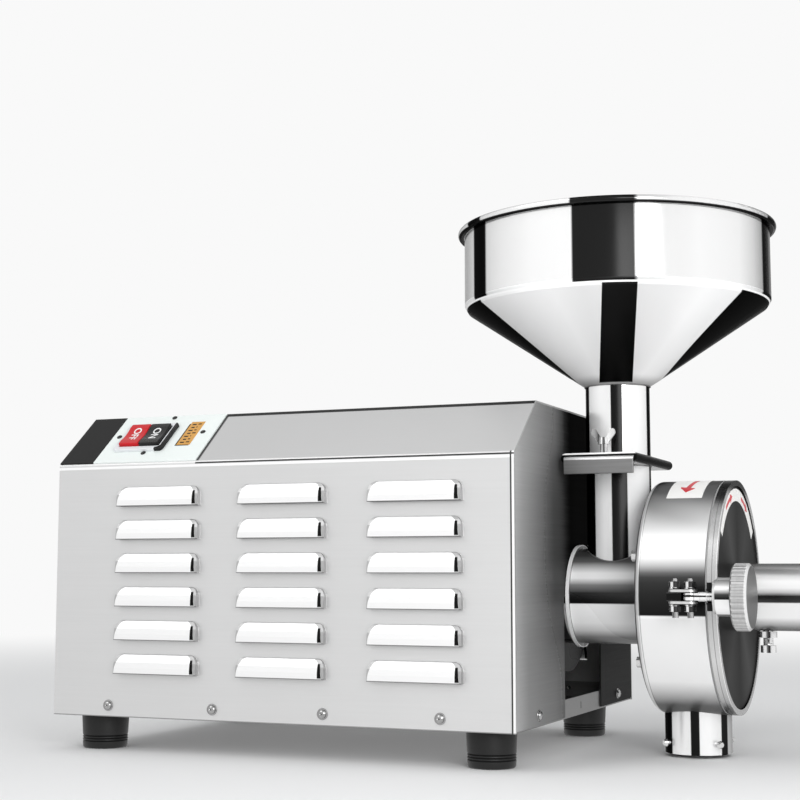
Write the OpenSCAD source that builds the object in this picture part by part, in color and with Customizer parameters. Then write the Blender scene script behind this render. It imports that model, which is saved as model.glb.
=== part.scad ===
// Electric grain mill: a louvred motor cabinet drives a feed screw and a pair of
// toothed grinding burrs inside a drum with a hinged, clamped front cover.
// Millimetres, +Z up. X runs along the shaft towards the drum, the feet stand on Z = 0.

/* [Cabinet] */
// Length of the cabinet along the shaft
body_l = 427; // [415:1:460]
// Depth of the cabinet, front face to back face
body_w = 350; // [335:1:380]
// Height of the upper edge of the front face above the floor
fold_z = 248; // [246:1:256]
// Height of the roof above the floor
roof_z = 294; // [290:1:303]
// How far the sloping panel runs back from the front face
slope_run = 56; // [48:1:60]
// Thickness of the cabinet sheet
sheet_t = 1.5; // [1:0.1:2]
// Outside radius of the cabinet's bends
bend_r = 3.5; // [2.5:0.5:6]
// Depth of the inward flange round the end panels
panel_flange = 12; // [8:1:16]
// Height of the base tray's upturned lips
tray_lip = 16; // [15:1:20]
// Height of the cabinet screws above the cabinet's lower edge
screw_rise = 9.5; // [8:0.5:10.5]

/* [Feet] */
// Radius of a rubber foot at its top
foot_r = 21; // [16:0.5:24]
// Height of the feet
foot_h = 30; // [28:0.5:34]
// Distance of the feet from the cabinet's ends
foot_end = 32; // [28:1:50]
// Distance of the front feet from the front face
foot_front = 33; // [28:1:44]
// Distance of the rear feet from the back face
foot_rear = 56; // [44:1:64]

/* [Louvres] */
// Width of one louvre
louvre_w = 81; // [60:1:86]
// Height of one louvre
louvre_h = 17; // [13:0.5:19]
// How far a louvre stands out of the sheet
louvre_d = 6; // [4:0.5:7]
// Corner radius of a louvre's upper corners
louvre_r = 8; // [5:0.5:11]
// Distance between louvre columns
louvre_step_x = 119.5; // [108:0.5:124]
// Distance between louvre rows
louvre_step_z = 28.7; // [26:0.1:30]
// Columns of louvres on the front and the back
louvre_cols = 3; // [1:1:3]
// Rows of louvres
louvre_rows = 6; // [2:1:6]
// Distance of the nearest column from the drum end
louvre_end = 43; // [36:1:56]
// Height of the lowest louvre's edge above the cabinet's lower edge
louvre_low = 37; // [34:0.5:42]

/* [Switch panel] */
// Width of the dark plate at the end of the slope
dark_plate_w = 35; // [26:1:36]
// Width of the light switch plate
light_plate_w = 104; // [90:1:110]
// Thickness of both plates
plate_t = 1; // [0.6:0.1:1.5]
// Width of the switch bezel
bezel_w = 50; // [46:1:56]
// Height of the switch bezel along the slope
bezel_h = 40; // [36:1:44]
// How far the bezel stands above its plate
bezel_t = 3; // [2.5:0.5:5]
// Width of one key
key_w = 20; // [16:0.5:21]
// Height of one key along the slope
key_h = 30; // [26:0.5:31]
// How far a key stands above the bezel
key_rise = 3; // [3:0.5:5]
// Travel of a key
key_travel = 3; // [2:0.25:3]
// Free space round a key
key_gap = 0.4; // [0.3:0.05:0.6]

/* [Motor] */
// Height of the shaft above the floor
axis_z = 133; // [130:0.5:135]
// Radius of the shaft in its bearings
shaft_r = 12.5; // [11:0.5:13]
// Outer radius of the motor shell
motor_r = 80; // [76:1:84]
// Wall of the motor shell
motor_wall = 4; // [3:0.5:5]
// Length of the motor shell
motor_l = 230; // [210:1:240]
// Distance of the motor shell behind the end face
motor_back = 60; // [58:1:66]
// Length of the stator core
core_l = 130; // [110:1:140]
// Radius of the rotor core
rotor_r = 45; // [42:0.5:48]
// Air gap between the rotor and the stator
air_gap = 0.5; // [0.4:0.1:0.8]
// Outer radius of the shaft bearings
bearing_r = 26; // [24:0.5:28]
// Width of the shaft bearings
bearing_w = 15; // [13:0.5:16]
// Radius of the cooling fan
fan_r = 68; // [60:1:72]

/* [Feed] */
// Outer radius of the feed tube
feed_r = 41; // [39:0.5:42]
// Wall of the feed tube
feed_wall = 4.5; // [3.5:0.5:5]
// Radius of the collar against the cabinet
collar_r = 44.5; // [44.5:0.5:50]
// Distance of the hopper's axis from the end face
neck_x = 37; // [36:0.5:38.5]
// Outer radius of the neck tubes
neck_r = 28; // [25:0.5:29]
// Wall of the neck tubes
neck_wall = 1.5; // [1:0.1:2]
// Pitch of the feed screw
auger_pitch = 36; // [30:1:44]
// Thickness of the feed screw's flight
auger_t = 4; // [3:0.5:6]
// Gap between the feed screw and its tube
auger_gap = 1; // [0.6:0.1:1.5]

/* [Hopper] */
// Radius of the hopper's rolled rim
rim_r = 140; // [125:1:150]
// Radius of the hopper's straight wall
bowl_r = 134.3; // [118:0.5:144]
// Height of the hopper's rim above the floor
rim_z = 456; // [440:1:480]
// Height of the edge between the wall and the cone
bowl_z = 386; // [372:1:400]
// Height of the cone's lower end
cone_z = 315.5; // [305:0.5:330]
// Sheet thickness of the hopper
hopper_t = 1.2; // [1:0.1:2]

/* [Gate] */
// Height of the gate sleeve's middle above the floor
gate_z = 249.7; // [245:0.5:254]
// Width of the gate sleeve
sleeve_w = 66; // [62:1:68]
// Length of the gate sleeve, front to back
sleeve_l = 128; // [110:1:140]
// Thickness of the gate sleeve
sleeve_t = 8.2; // [7.6:0.1:9]
// Thickness of the gate plate
gate_t = 2.5; // [2:0.1:3]
// Height of the gate's turned-down lip
lip_h = 15; // [10:1:20]
// Free space above and below the gate plate
gate_gap = 0.3; // [0.2:0.05:0.5]
// Distance of the gate's wing screw from the sleeve's front end
wing_in = 16; // [12:0.5:18]

/* [Drum] */
// Outer radius of the grinding drum
drum_r = 98.3; // [95:0.5:100]
// Distance of the drum's back wall from the end face
drum_x = 73; // [72:0.5:75]
// Depth of the drum
drum_d = 58; // [56:0.5:60]
// Wall of the drum
drum_t = 3; // [2.5:0.1:4]
// Radius of the drum's back edge
drum_edge = 6; // [3.5:0.5:8]
// Thickness of the flange inside the drum
flange_t = 6; // [5:0.5:7]
// Radius of the flange inside the drum
flange_r = 68; // [66:0.5:69]
// Radius of both burrs
burr_r = 70; // [70:0.5:74]
// Thickness of a burr without its teeth
burr_t = 8; // [7:0.5:9]
// Height of the burrs' teeth
tooth_h = 2.5; // [1.5:0.1:3]
// Number of teeth on a burr
tooth_count = 24; // [16:2:28]
// Gap between the burrs' teeth
burr_gap = 0.6; // [0.5:0.1:1]
// Outer radius of the discharge spout
spout_r = 28; // [25:0.5:28.5]
// Wall of the discharge spout
spout_wall = 1.5; // [1:0.1:2]
// Height of the spout's lower end above the floor
spout_low = 3; // [2:0.5:6]
// Height of the bag pins above the spout's lower end
pin_rise = 9; // [7:0.5:12]

/* [Cover] */
// Thickness of the gasket between the drum and the cover
gasket_t = 1.4; // [1:0.1:2]
// Depth of the cover's rim
rim_d = 7.7; // [6:0.1:9]
// Width of the cover's raised rim
rim_w = 4.8; // [3.5:0.1:6]
// Thickness of the cover's disc
cover_t = 4; // [3:0.5:4.5]
// How far the cover's disc lies behind its rim
recess = 1.5; // [1:0.1:2]
// Distance of the hinge pin outside the drum
hinge_out = 13.7; // [12.5:0.1:16]
// Radius of the hinge pin
hinge_pin_r = 4; // [3.5:0.5:5]
// Radius of the hinge ears and the knuckle
ear_r = 8; // [7.5:0.5:9]
// Half the height of the hinge knuckle
knuckle_h = 12; // [10:0.5:14]
// Thickness of a hinge ear
ear_t = 6; // [4:0.5:8]

/* [Adjuster] */
// Outer radius of the adjusting sleeve
tube_r = 28; // [26:0.5:30]
// Wall of the adjusting sleeve
tube_wall = 4; // [3:0.5:5]
// Length of the adjusting sleeve in front of the cover
tube_l = 60; // [56:1:70]
// Radius of the adjusting screw
screw_r = 10; // [9:0.5:11]
// Radius of the adjusting knob
knob_r = 33; // [30:0.5:38]
// Length of the adjusting knob
knob_l = 26; // [20:1:34]
// Gap between the adjusting knob and its sleeve
knob_gap = 1.2; // [1:0.1:2]
// Distance of the lock screw from the cover
lock_x = 24; // [20:0.5:28]

/* [Latch] */
// Distance of the latch's axis outside the drum
latch_out = 19.7; // [18:0.5:22]
// Height of the latch above the shaft
latch_rise = 2; // [0:0.5:4]
// Distance of the latch pivot behind the cover joint
pivot_back = 7; // [6:0.25:8]
// Distance between the latch's two bolts
bolt_step = 12; // [11.5:0.25:13]
// Thickness of the swing bolt's eye
eye_t = 5.6; // [5:0.1:6]
// Radius of the swing bolt
swing_r = 4; // [3:0.25:4.5]
// Thickness of the fork on the cover
fork_t = 6; // [4:0.5:6.5]
// Radius of the clamp knob's disc
clamp_r = 26; // [22:0.5:27]
// Length of the clamp knob
clamp_l = 26; // [24:0.5:30]

/* [Fits] */
// Running clearance of pins, shafts and threads
run = 0.05; // [0.02:0.01:0.09]
// Free space between pieces that pass each other
pass = 0.4; // [0.3:0.05:0.6]
// Smoothness of the round surfaces
smooth = 96; // [48:12:120]

/* [Hidden] */

$fn = smooth;
steel = "silver";
dark_steel = "dimgray";
eps = 0.01;
half_w = body_w / 2;
base_z = foot_h;

// Slope of the switch panel
slope_rise = roof_z - fold_z;
slope_angle = atan2(slope_rise, slope_run);
slope_l = norm([slope_run, slope_rise]);
plate_edge = 1;
plate_l = slope_l - 2 * plate_edge;
plate_mid = slope_l / 2;
light_plate_x = -body_l + dark_plate_w + light_plate_w / 2;
switch_x = -body_l + dark_plate_w + plate_edge + bezel_w / 2 + 12;
switch_depth = 26;

// Places along the shaft, measured from the cabinet's end face
collar_x = 0.5;
collar_t = 3;
housing_back = -18;
housing_flange_t = 8;
housing_flange_r = 66;
housing_bolt_r = 58;
feed_bore = feed_r - feed_wall;
seal_l = 10;
flange_x = drum_x + drum_t;
fixed_x = flange_x + flange_t;
fixed_face = fixed_x + burr_t;
moving_face = fixed_face + 2 * tooth_h + burr_gap;
moving_back = moving_face + burr_t;
cap_l = 8;
cap_x = moving_back + cap_l;
shaft_end = moving_back + 2;
burr_slack = 2;
joint_x = drum_x + drum_d;
gasket_x = joint_x + 0.3;
cover_x = gasket_x + gasket_t;
cover_front = cover_x + rim_d;
disc_front = cover_front - recess;
disc_back = disc_front - cover_t;
thrust_x = cap_x + 0.3;
thrust_l = 8;
screw_x = thrust_x + thrust_l;
tube_end = disc_front + tube_l;
nut_l = 22;
nut_x = disc_front + lock_x - nut_l / 2;
knob_x = tube_end + knob_gap;
knob_end = knob_x + knob_l;

// The whole is centred on X
gland_l = 15;
face_x = (body_l + gland_l - knob_end) / 2;

// Hinge and latch
hinge_x = (joint_x + cover_x) / 2;
hinge_y = drum_r + hinge_out;
latch_y = -(drum_r + latch_out);
latch_z = axis_z + latch_rise;
pivot_x = joint_x - pivot_back;
bolt_x = pivot_x - bolt_step;
latch_bolt_r = 2.5;
eye_r = 5.6;
plate_r = 5.5;
latch_plate_t = 3;
fork_front = cover_front + 2.6;
fork_reach = 3;
fork_h = 22;
washer_x = fork_front + pass;
washer_t = 2;
clamp_x = washer_x + washer_t + 0.3;
hub_r = 15;
hub_l = 13;
clamp_end = clamp_x + clamp_l;
clamp_floor = 2.5;
swing_end = clamp_end - clamp_floor - 3;

// Gate and neck
neck_bore = neck_r - neck_wall;
slot_h = gate_t + 2 * gate_gap;
sleeve_wall = (sleeve_t - slot_h) / 2;
slot_w = sleeve_w - 2 * sleeve_wall;
gate_w = slot_w - 2 * pass;
sleeve_low = gate_z - sleeve_t / 2;
sleeve_top = gate_z + sleeve_t / 2;
lip_y = -sleeve_l / 2 - pass;
gate_back = neck_bore + 5;
wing_y = -sleeve_l / 2 + wing_in;
wing_r = 3;

// ---------------------------------------------------------------- geometry helpers

function unit(v) = v / norm(v);

// Outward normal of the edge from point i of a counterclockwise outline
function edge_normal(points, i) =
    let (n = len(points), e = points[(i + 1) % n] - points[i]) unit([e.y, -e.x]);

// The outline moved inwards by d
function inset(points, d) = [
    for (i = [0 : len(points) - 1])
        let (a = edge_normal(points, (i + len(points) - 1) % len(points)), b = edge_normal(points, i))
        points[i] - d * (a + b) / (1 + a * b)
];

// The outline with an arc of radius radii[i] at corner i
function rounded(points, radii, steps = 5) = [
    for (i = [0 : len(points) - 1])
        let (
            a = edge_normal(points, (i + len(points) - 1) % len(points)),
            b = edge_normal(points, i),
            r = radii[i],
            centre = points[i] - r * (a + b) / (1 + a * b),
            start = atan2(a.y, a.x),
            turn = acos(max(-1, min(1, a * b)))
        )
        for (k = [0 : r > 0 ? steps : 0])
            r > 0 ? centre + r * [cos(start + turn * k / steps), sin(start + turn * k / steps)]
                  : points[i]
];

function all_corners(n, r) = [for (i = [1 : n]) r];

function box_outline(w, h) = [[-w / 2, -h / 2], [w / 2, -h / 2], [w / 2, h / 2], [-w / 2, h / 2]];

// Moves a piece from the cabinet's end face to its place in the centred model
module from_face() {
    translate([face_x, 0, 0]) children();
}

// A flat outline in Y and Z, extruded along X from x to x + l
module along_x(x, l) {
    translate([x, 0, 0]) rotate([90, 0, 90]) linear_extrude(l) children();
}

// Puts a piece that is built on Z onto the shaft's axis, starting at x
module on_axis(x = 0) {
    translate([x, 0, axis_z]) rotate([0, 90, 0]) children();
}

// A ring or tube on the shaft's axis from x0 to x1
module axis_tube(r_out, r_in, x0, x1) {
    on_axis(x0) difference() {
        cylinder(r = r_out, h = x1 - x0);
        translate([0, 0, -1]) cylinder(r = r_in, h = x1 - x0 + 2);
    }
}

module tube(r_out, r_in, z0, z1) {
    translate([0, 0, z0]) difference() {
        cylinder(r = r_out, h = z1 - z0);
        translate([0, 0, -1]) cylinder(r = r_in, h = z1 - z0 + 2);
    }
}

module hexagon(r, h) {
    cylinder(r = r, h = h, $fn = 6);
}

// Places children on the switch slope: x along the cabinet, v up the slope, n out of it
module on_slope(x, v, n = 0) {
    translate([x, -half_w, fold_z]) rotate([slope_angle, 0, 0]) translate([0, v, n]) children();
}

module rounded_block(w, h, t, r) {
    linear_extrude(t) polygon(rounded(box_outline(w, h), all_corners(4, r)));
}

// ---------------------------------------------------------------- cabinet

// The cabinet's outline in Y and Z, with its lower edge at z
function cabinet_outline(z) = [
    [-half_w, z], [half_w, z], [half_w, fold_z],
    [half_w - slope_run, roof_z], [-half_w + slope_run, roof_z], [-half_w, fold_z]
];

module cabinet_section(depth, z = base_z) {
    r = max(bend_r - depth, 0.4);
    polygon(rounded(inset(cabinet_outline(z), depth), [0, 0, r, r, r, r]));
}

// Side view of a louvre: it swells out of the sheet from its upper edge to its lower lip
function louvre_side(depth, height, low) = concat(
    [[-sheet_t, height], [-sheet_t, low], [depth, low]],
    [for (k = [0 : 5]) [depth * cos(18 * k), height * sin(18 * k)]]
);

function louvre_outline(w, h, r, low) =
    rounded([[-w / 2, low], [w / 2, low], [w / 2, h], [-w / 2, h]], [0, 0, r, r], 4);

// A louvre's solid, X along its width, Z up from its lip, -Y out of the sheet
module louvre_solid(depth, w, h, r, low) {
    intersection() {
        rotate([90, 0, 0]) translate([0, 0, -sheet_t])
            linear_extrude(depth + 2 * sheet_t) polygon(louvre_outline(w, h, r, low));
        translate([-w / 2, 0, 0]) rotate([90, 0, 90]) mirror([1, 0, 0])
            linear_extrude(w) polygon(louvre_side(depth, h, low));
    }
}

module louvre_hood() {
    louvre_solid(louvre_d, louvre_w, louvre_h, louvre_r, 0);
}

module louvre_cut() {
    louvre_solid(
        louvre_d - sheet_t, louvre_w - 2 * sheet_t, louvre_h - sheet_t, louvre_r - sheet_t, -eps);
}

module louvre_rows_at(x, y) {
    for (row = [0 : louvre_rows - 1])
        translate([x, y, base_z + louvre_low + row * louvre_step_z]) children();
}

module louvre_field() {
    for (side = [0, 1], col = [0 : louvre_cols - 1])
        mirror([0, side, 0])
            louvre_rows_at(-louvre_end - louvre_w / 2 - col * louvre_step_x, -half_w) children();
}

front_screw_right = 63;
front_screw_left = 56.2;
front_screw_step = (body_l - front_screw_right - front_screw_left) / 3;
front_screws = [for (i = [0 : 3]) -front_screw_right - i * front_screw_step];
end_screw_front = 56.5;
end_screw_rear = 53;
end_screws = [-half_w + end_screw_front, half_w - end_screw_rear];
screw_z = base_z + screw_rise;
cover_screw_r = 2;
cover_head_r = 4.5;

// Places children at every cabinet screw, Z pointing out of the sheet
module at_cover_screws() {
    for (x = front_screws) {
        translate([x, -half_w, screw_z]) rotate([90, 0, 0]) children();
        translate([x, half_w, screw_z]) rotate([-90, 0, 0]) children();
    }
    at_end_screws() children();
}

module at_end_screws() {
    for (y = end_screws) {
        translate([0, y, screw_z]) rotate([0, 90, 0]) children();
        translate([-body_l, y, screw_z]) rotate([0, -90, 0]) children();
    }
}

module screw_holes() {
    translate([0, 0, -3 * sheet_t]) cylinder(r = cover_screw_r + 0.1, h = 4 * sheet_t, $fn = 24);
}

module cover_wrap() {
    color("gainsboro") from_face() difference() {
        union() {
            along_x(-body_l, body_l) difference() {
                cabinet_section(0);
                cabinet_section(sheet_t, base_z - 10);
            }
            louvre_field() louvre_hood();
        }
        louvre_field() louvre_cut();
        at_cover_screws() screw_holes();
        on_slope(switch_x, plate_mid, -2 * sheet_t)
            rounded_block(bezel_w - 6, bezel_h - 6, 4 * sheet_t, 2);
    }
}

panel_gap = 0.15;

// One end panel with its inward flange, its outer face at x = 0 and the flange towards -X
module end_panel_blank() {
    along_x(-sheet_t, sheet_t) cabinet_section(sheet_t + panel_gap);
    along_x(-panel_flange, panel_flange - sheet_t) difference() {
        cabinet_section(sheet_t + panel_gap);
        cabinet_section(2 * sheet_t + panel_gap, base_z - 10);
        translate([-half_w, 0]) square([body_w, base_z + tray_lip + 2 * pass]);
    }
}

notch_front = -47;
notch_back = 66;

module right_panel() {
    color("gray") from_face() difference() {
        end_panel_blank();
        along_x(-2 * sheet_t, 3 * sheet_t) {
            translate([notch_front, 0]) square([notch_back - notch_front, axis_z]);
            translate([0, axis_z]) circle(r = collar_r - 2);
        }
        at_end_screws() screw_holes();
    }
}

vent_y = 46;
gland_r = 8;
gland_nut_r = gland_r + 4;
gland_gap = 7.5;
gland_y = -(vent_y + louvre_w / 2 + gland_gap + gland_nut_r);
gland_z = base_z + 44;

module left_panel() {
    color("gainsboro") from_face() difference() {
        union() {
            translate([-body_l, 0, 0]) mirror([1, 0, 0]) end_panel_blank();
            vent_field() louvre_hood();
        }
        vent_field() louvre_cut();
        at_end_screws() screw_holes();
        translate([-body_l - 1, gland_y, gland_z]) rotate([0, 90, 0])
            cylinder(r = gland_r, h = panel_flange);
    }
}

// Two columns of louvres behind the motor's fan
module vent_field() {
    for (y = [-vent_y, vent_y])
        translate([-body_l, y, 0]) rotate([0, 0, -90]) louvre_rows_at(0, 0) children();
}

tray_gap = 0.3;
tray_in = sheet_t + tray_gap;
tray_slot_y = 6;
tray_slot_w = 2;
tray_slot_h = 6;

module base_tray() {
    depth = body_w - 2 * tray_in;
    length = body_l - 2 * tray_in;
    color("gray") from_face() difference() {
        translate([-body_l + tray_in, -depth / 2, base_z]) cube([length, depth, tray_lip]);
        translate([-body_l + tray_in + sheet_t, -depth / 2 + sheet_t, base_z + sheet_t])
            cube([length - 2 * sheet_t, depth - 2 * sheet_t, tray_lip]);
        at_cover_screws() translate([0, 0, -2 * sheet_t]) screw_holes();
        at_feet() translate([0, 0, base_z - 1]) cylinder(r = foot_screw_r + 0.1, h = 4, $fn = 24);
        at_stand_bolts() translate([0, 0, base_z - 1])
            cylinder(r = stand_bolt_r + 0.1, h = 4, $fn = 24);
        for (x = [-body_l + tray_in, -tray_in])
            translate([x, tray_slot_y, base_z + tray_lip / 2])
                cube([4 * sheet_t, tray_slot_w, tray_slot_h], center = true);
    }
}

foot_screw_r = 3;

module at_feet() {
    for (x = [-foot_end, -body_l + foot_end]) {
        translate([x, -half_w + foot_front, 0]) children();
        translate([x, half_w - foot_rear, 0]) children();
    }
}

foot_taper = 1.2;
foot_well_r = 9;
foot_well = 14;

module rubber_feet() {
    color("black") from_face() at_feet() difference() {
        cylinder(r1 = foot_r - foot_taper, r2 = foot_r, h = foot_h);
        translate([0, 0, -1]) cylinder(r = foot_well_r, h = foot_well + 1);
        cylinder(r = foot_screw_r + 0.1, h = foot_h + 1, $fn = 24);
    }
}

module foot_screws() {
    color(steel) from_face() at_feet() {
        translate([0, 0, foot_well - 1]) cylinder(r = foot_well_r - 1, h = 1, $fn = 32);
        translate([0, 0, foot_well - 5]) hexagon(5.5, 4);
        translate([0, 0, foot_well]) cylinder(r = foot_screw_r, h = foot_h - foot_well + 8, $fn = 24);
        translate([0, 0, base_z + sheet_t]) difference() {
            hexagon(5.5, 5);
            translate([0, 0, -1]) cylinder(r = foot_screw_r, h = 7, $fn = 24);
        }
    }
}

cover_head_h = 2.6;

module cover_screws() {
    color(steel) from_face() at_cover_screws() {
        difference() {
            rotate_extrude($fn = 24) polygon([
                [0, 0], [cover_head_r, 0], [cover_head_r, 0.8],
                [cover_head_r * 0.85, cover_head_h * 0.7],
                [cover_head_r * 0.5, cover_head_h], [0, cover_head_h]
            ]);
            translate([-3, -0.5, cover_head_h - 1]) cube([6, 1, 2]);
            translate([-0.5, -3, cover_head_h - 1]) cube([1, 6, 2]);
        }
        translate([0, 0, -8]) cylinder(r = cover_screw_r, h = 8, $fn = 24);
    }
}

module cable_gland() {
    color("black") from_face() translate([-body_l, gland_y, gland_z]) rotate([0, -90, 0]) difference() {
        union() {
            translate([0, 0, -4]) cylinder(r = gland_r - run, h = 4);
            translate([0, 0, -4 - sheet_t]) hexagon(gland_r + 3, 4);
            hexagon(gland_nut_r, 4);
            translate([0, 0, 4]) cylinder(r1 = gland_r + 1, r2 = gland_r - 2, h = gland_l - 4);
        }
        translate([0, 0, -8]) cylinder(r = gland_r - 4, h = gland_l + 10);
    }
}

// ---------------------------------------------------------------- switch panel

module dark_plate() {
    color("black") from_face()
        on_slope(-body_l + dark_plate_w / 2, plate_mid)
            rounded_block(dark_plate_w - pass, plate_l, plate_t, 0.5);
}

module switch_plate() {
    color("whitesmoke") from_face() on_slope(light_plate_x, plate_mid) difference() {
        rounded_block(light_plate_w - pass, plate_l, plate_t, 0.5);
        translate([switch_x - light_plate_x, 0, -1])
            rounded_block(bezel_w - 6, bezel_h - 6, plate_t + 2, 2);
    }
}

key_step = key_w + key_gap;
key_in = bezel_t + plate_t;

// The window that holds both keys
module key_window(depth) {
    rounded_block(2 * key_w + 3 * key_gap, key_h + 2 * key_gap, depth, 0.5);
}

module switch_bezel() {
    color("darkslategray") from_face() on_slope(switch_x, plate_mid, plate_t) difference() {
        rounded_block(bezel_w, bezel_h, bezel_t, 3);
        translate([0, 0, -1]) key_window(bezel_t + 2);
    }
}

key_well = 5;

module switch_body() {
    color("black") from_face() on_slope(switch_x, plate_mid, -switch_depth) difference() {
        rounded_block(bezel_w - 6.6, bezel_h - 6.6, switch_depth + plate_t, 1.7);
        translate([0, 0, switch_depth - key_well]) key_window(key_well + plate_t + 1);
    }
}

// A key with a dished face, its lower end clear of the well by its travel
module key(side) {
    foot = key_travel + pass - key_well;
    on_slope(switch_x + side * key_step / 2, plate_mid) difference() {
        translate([0, 0, foot]) rounded_block(key_w, key_h, key_in + key_rise - foot, 1.2);
        translate([0, 0, key_in + key_rise + key_h * 1.5 - 1])
            rotate([0, 90, 0]) cylinder(r = key_h * 1.5, h = key_w + 2, center = true);
    }
}

module on_key() {
    color("black") from_face() key(1);
}

module off_key() {
    color("firebrick") from_face() key(-1);
}

// ---------------------------------------------------------------- motor

shell_x1 = -motor_back;
shell_x0 = shell_x1 - motor_l;
shell_bore = motor_r - motor_wall;
core_x0 = (shell_x0 + shell_x1 - core_l) / 2;
core_x1 = core_x0 + core_l;
bell_t = 4;
rear_bell_l = 22;
rear_bell_x = shell_x0 - rear_bell_l;
front_bearing_out = 18;
front_bearing_x = shell_x1 + front_bearing_out;
stand_bolt_r = 3;
stand_bolt_dx = 10;
stand_t = 3;
stand_w = 150;
stand_spread = 60;
stand_in = 45;
stand_xs = [shell_x0 + stand_in, shell_x1 - stand_in];
stand_floor = base_z + sheet_t;

module at_stand_bolts() {
    for (x = stand_xs, y = [-stand_spread, stand_spread])
        translate([x + stand_bolt_dx, y, 0]) children();
}

// Two folded saddles that carry the motor on the tray
module motor_stand() {
    saddle_w = 36;
    saddle_h = axis_z - stand_floor;
    color(dark_steel) from_face() difference() {
        for (x = stand_xs) {
            translate([x - saddle_w / 2, -stand_w / 2, stand_floor]) cube([saddle_w, stand_w, stand_t]);
            along_x(x - stand_t / 2, stand_t)
                polygon([
                    [-stand_w / 2 + 6, stand_floor], [stand_w / 2 - 6, stand_floor],
                    [motor_r * 0.86, stand_floor + saddle_h * 0.55],
                    [-motor_r * 0.86, stand_floor + saddle_h * 0.55]
                ]);
        }
        on_axis(shell_x0 - 1) cylinder(r = motor_r, h = motor_l + 2);
        at_stand_bolts() translate([0, 0, stand_floor - 1])
            cylinder(r = stand_bolt_r + 0.1, h = stand_t + 2, $fn = 24);
    }
}

module motor_shell() {
    color(dark_steel) from_face() axis_tube(motor_r, shell_bore, shell_x0, shell_x1);
}

module stator_core() {
    color("gray") from_face() axis_tube(shell_bore, rotor_r + air_gap, core_x0, core_x1);
}

module stator_windings() {
    r = 9;
    centre = (rotor_r + shell_bore) / 2 + 2;
    color("chocolate") from_face() for (x = [core_x0 - r, core_x1 + r])
        on_axis(x) rotate_extrude() polygon([
            for (a = [0 : 30 : 330]) [centre + 12 * cos(a), r * sin(a)]
        ]);
}

// Profile of a bell in radius and height above the motor shell's end
module bell(reach, nose_r, bearing_at) {
    shaft_hole = shaft_r + 3;
    rotate_extrude() polygon([
        [shaft_hole, reach - bell_t], [shaft_hole, reach], [nose_r, reach],
        [nose_r + 2, reach - bell_t], [motor_r - 5, 12], [motor_r, 5], [motor_r, 0],
        [motor_r - bell_t, 0], [motor_r - 5 - bell_t, 10],
        [bearing_r + 5, bearing_at + bearing_w - 4], [bearing_r + 5, bearing_at],
        [bearing_r, bearing_at], [bearing_r, bearing_at + bearing_w],
        [shaft_hole, bearing_at + bearing_w]
    ]);
}

module front_bell() {
    reach = housing_back - shell_x1;
    color(dark_steel) from_face() difference() {
        on_axis(shell_x1) bell(reach, housing_flange_r, front_bearing_x - shell_x1);
        at_housing_bolts(housing_back - bell_t - 1) cylinder(r = 3, h = bell_t + 2, $fn = 24);
    }
}

module rear_bell() {
    color(dark_steel) from_face() mirror_x(shell_x0)
        on_axis(shell_x0) bell(shell_x0 - rear_bell_x + 8, bearing_r + 14, 3);
}

// Mirrors children about the plane at x
module mirror_x(x) {
    translate([x, 0, 0]) mirror([1, 0, 0]) translate([-x, 0, 0]) children();
}

module motor_bearings() {
    color(steel) from_face() {
        axis_tube(bearing_r, shaft_r + run, front_bearing_x, front_bearing_x + bearing_w);
        axis_tube(bearing_r, shaft_r + run, shell_x0 - 3 - bearing_w, shell_x0 - 3);
    }
}

housing_bolts = 4;

module at_housing_bolts(x) {
    for (i = [0 : housing_bolts - 1])
        on_axis(x) rotate([0, 0, 45 + 360 / housing_bolts * i])
            translate([housing_bolt_r, 0, 0]) children();
}

// Bolts of the feed housing and of the motor's saddles
module motor_bolts() {
    head = 4;
    color(steel) from_face() {
        at_housing_bolts(housing_back - bell_t) {
            cylinder(r = 3, h = bell_t + housing_flange_t, $fn = 24);
            translate([0, 0, bell_t + housing_flange_t]) hexagon(5.8, head);
        }
        at_stand_bolts() {
            translate([0, 0, base_z - head]) hexagon(5.8, head);
            translate([0, 0, base_z]) cylinder(r = stand_bolt_r, h = sheet_t + stand_t, $fn = 24);
            translate([0, 0, stand_floor + stand_t]) hexagon(5.8, head);
        }
    }
}

cowl_t = 1.2;
cowl_l = 46;
fan_x = rear_bell_x - 12;

module fan_cowl() {
    x1 = shell_x0;
    x0 = x1 - cowl_l - 22;
    color(dark_steel) from_face() difference() {
        union() {
            axis_tube(motor_r + cowl_t + 0.2, motor_r + 0.2, x0, x1 + 8);
            axis_tube(motor_r + cowl_t, fan_r * 0.62, x0, x0 + cowl_t);
        }
        for (a = [0 : 30 : 330])
            on_axis(x0 - 1) rotate([0, 0, a]) translate([fan_r * 0.92, 0, 0])
                cylinder(r = 5, h = cowl_t + 2, $fn = 24);
    }
}

cap_body_r = 20;
capacitor_front = 57;
capacitor_y = -half_w + capacitor_front;

module capacitor() {
    length = 92;
    middle = -body_l / 2;
    lift = stand_floor + 3 + cap_body_r;
    color("dimgray") from_face() {
        translate([middle - length / 2, capacitor_y, lift]) rotate([0, 90, 0]) {
            cylinder(r = cap_body_r, h = length);
            for (y = [-6, 6]) translate([0, y, length]) cylinder(r = 2, h = 7, $fn = 24);
        }
        difference() {
            translate([middle - 12, capacitor_y - cap_body_r - 2, stand_floor])
                cube([24, 2 * cap_body_r + 4, cap_body_r]);
            translate([middle - 13, capacitor_y, lift]) rotate([0, 90, 0])
                cylinder(r = cap_body_r, h = 26);
        }
    }
}

journal_r = 11;
shaft_tail = 60;

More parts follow.
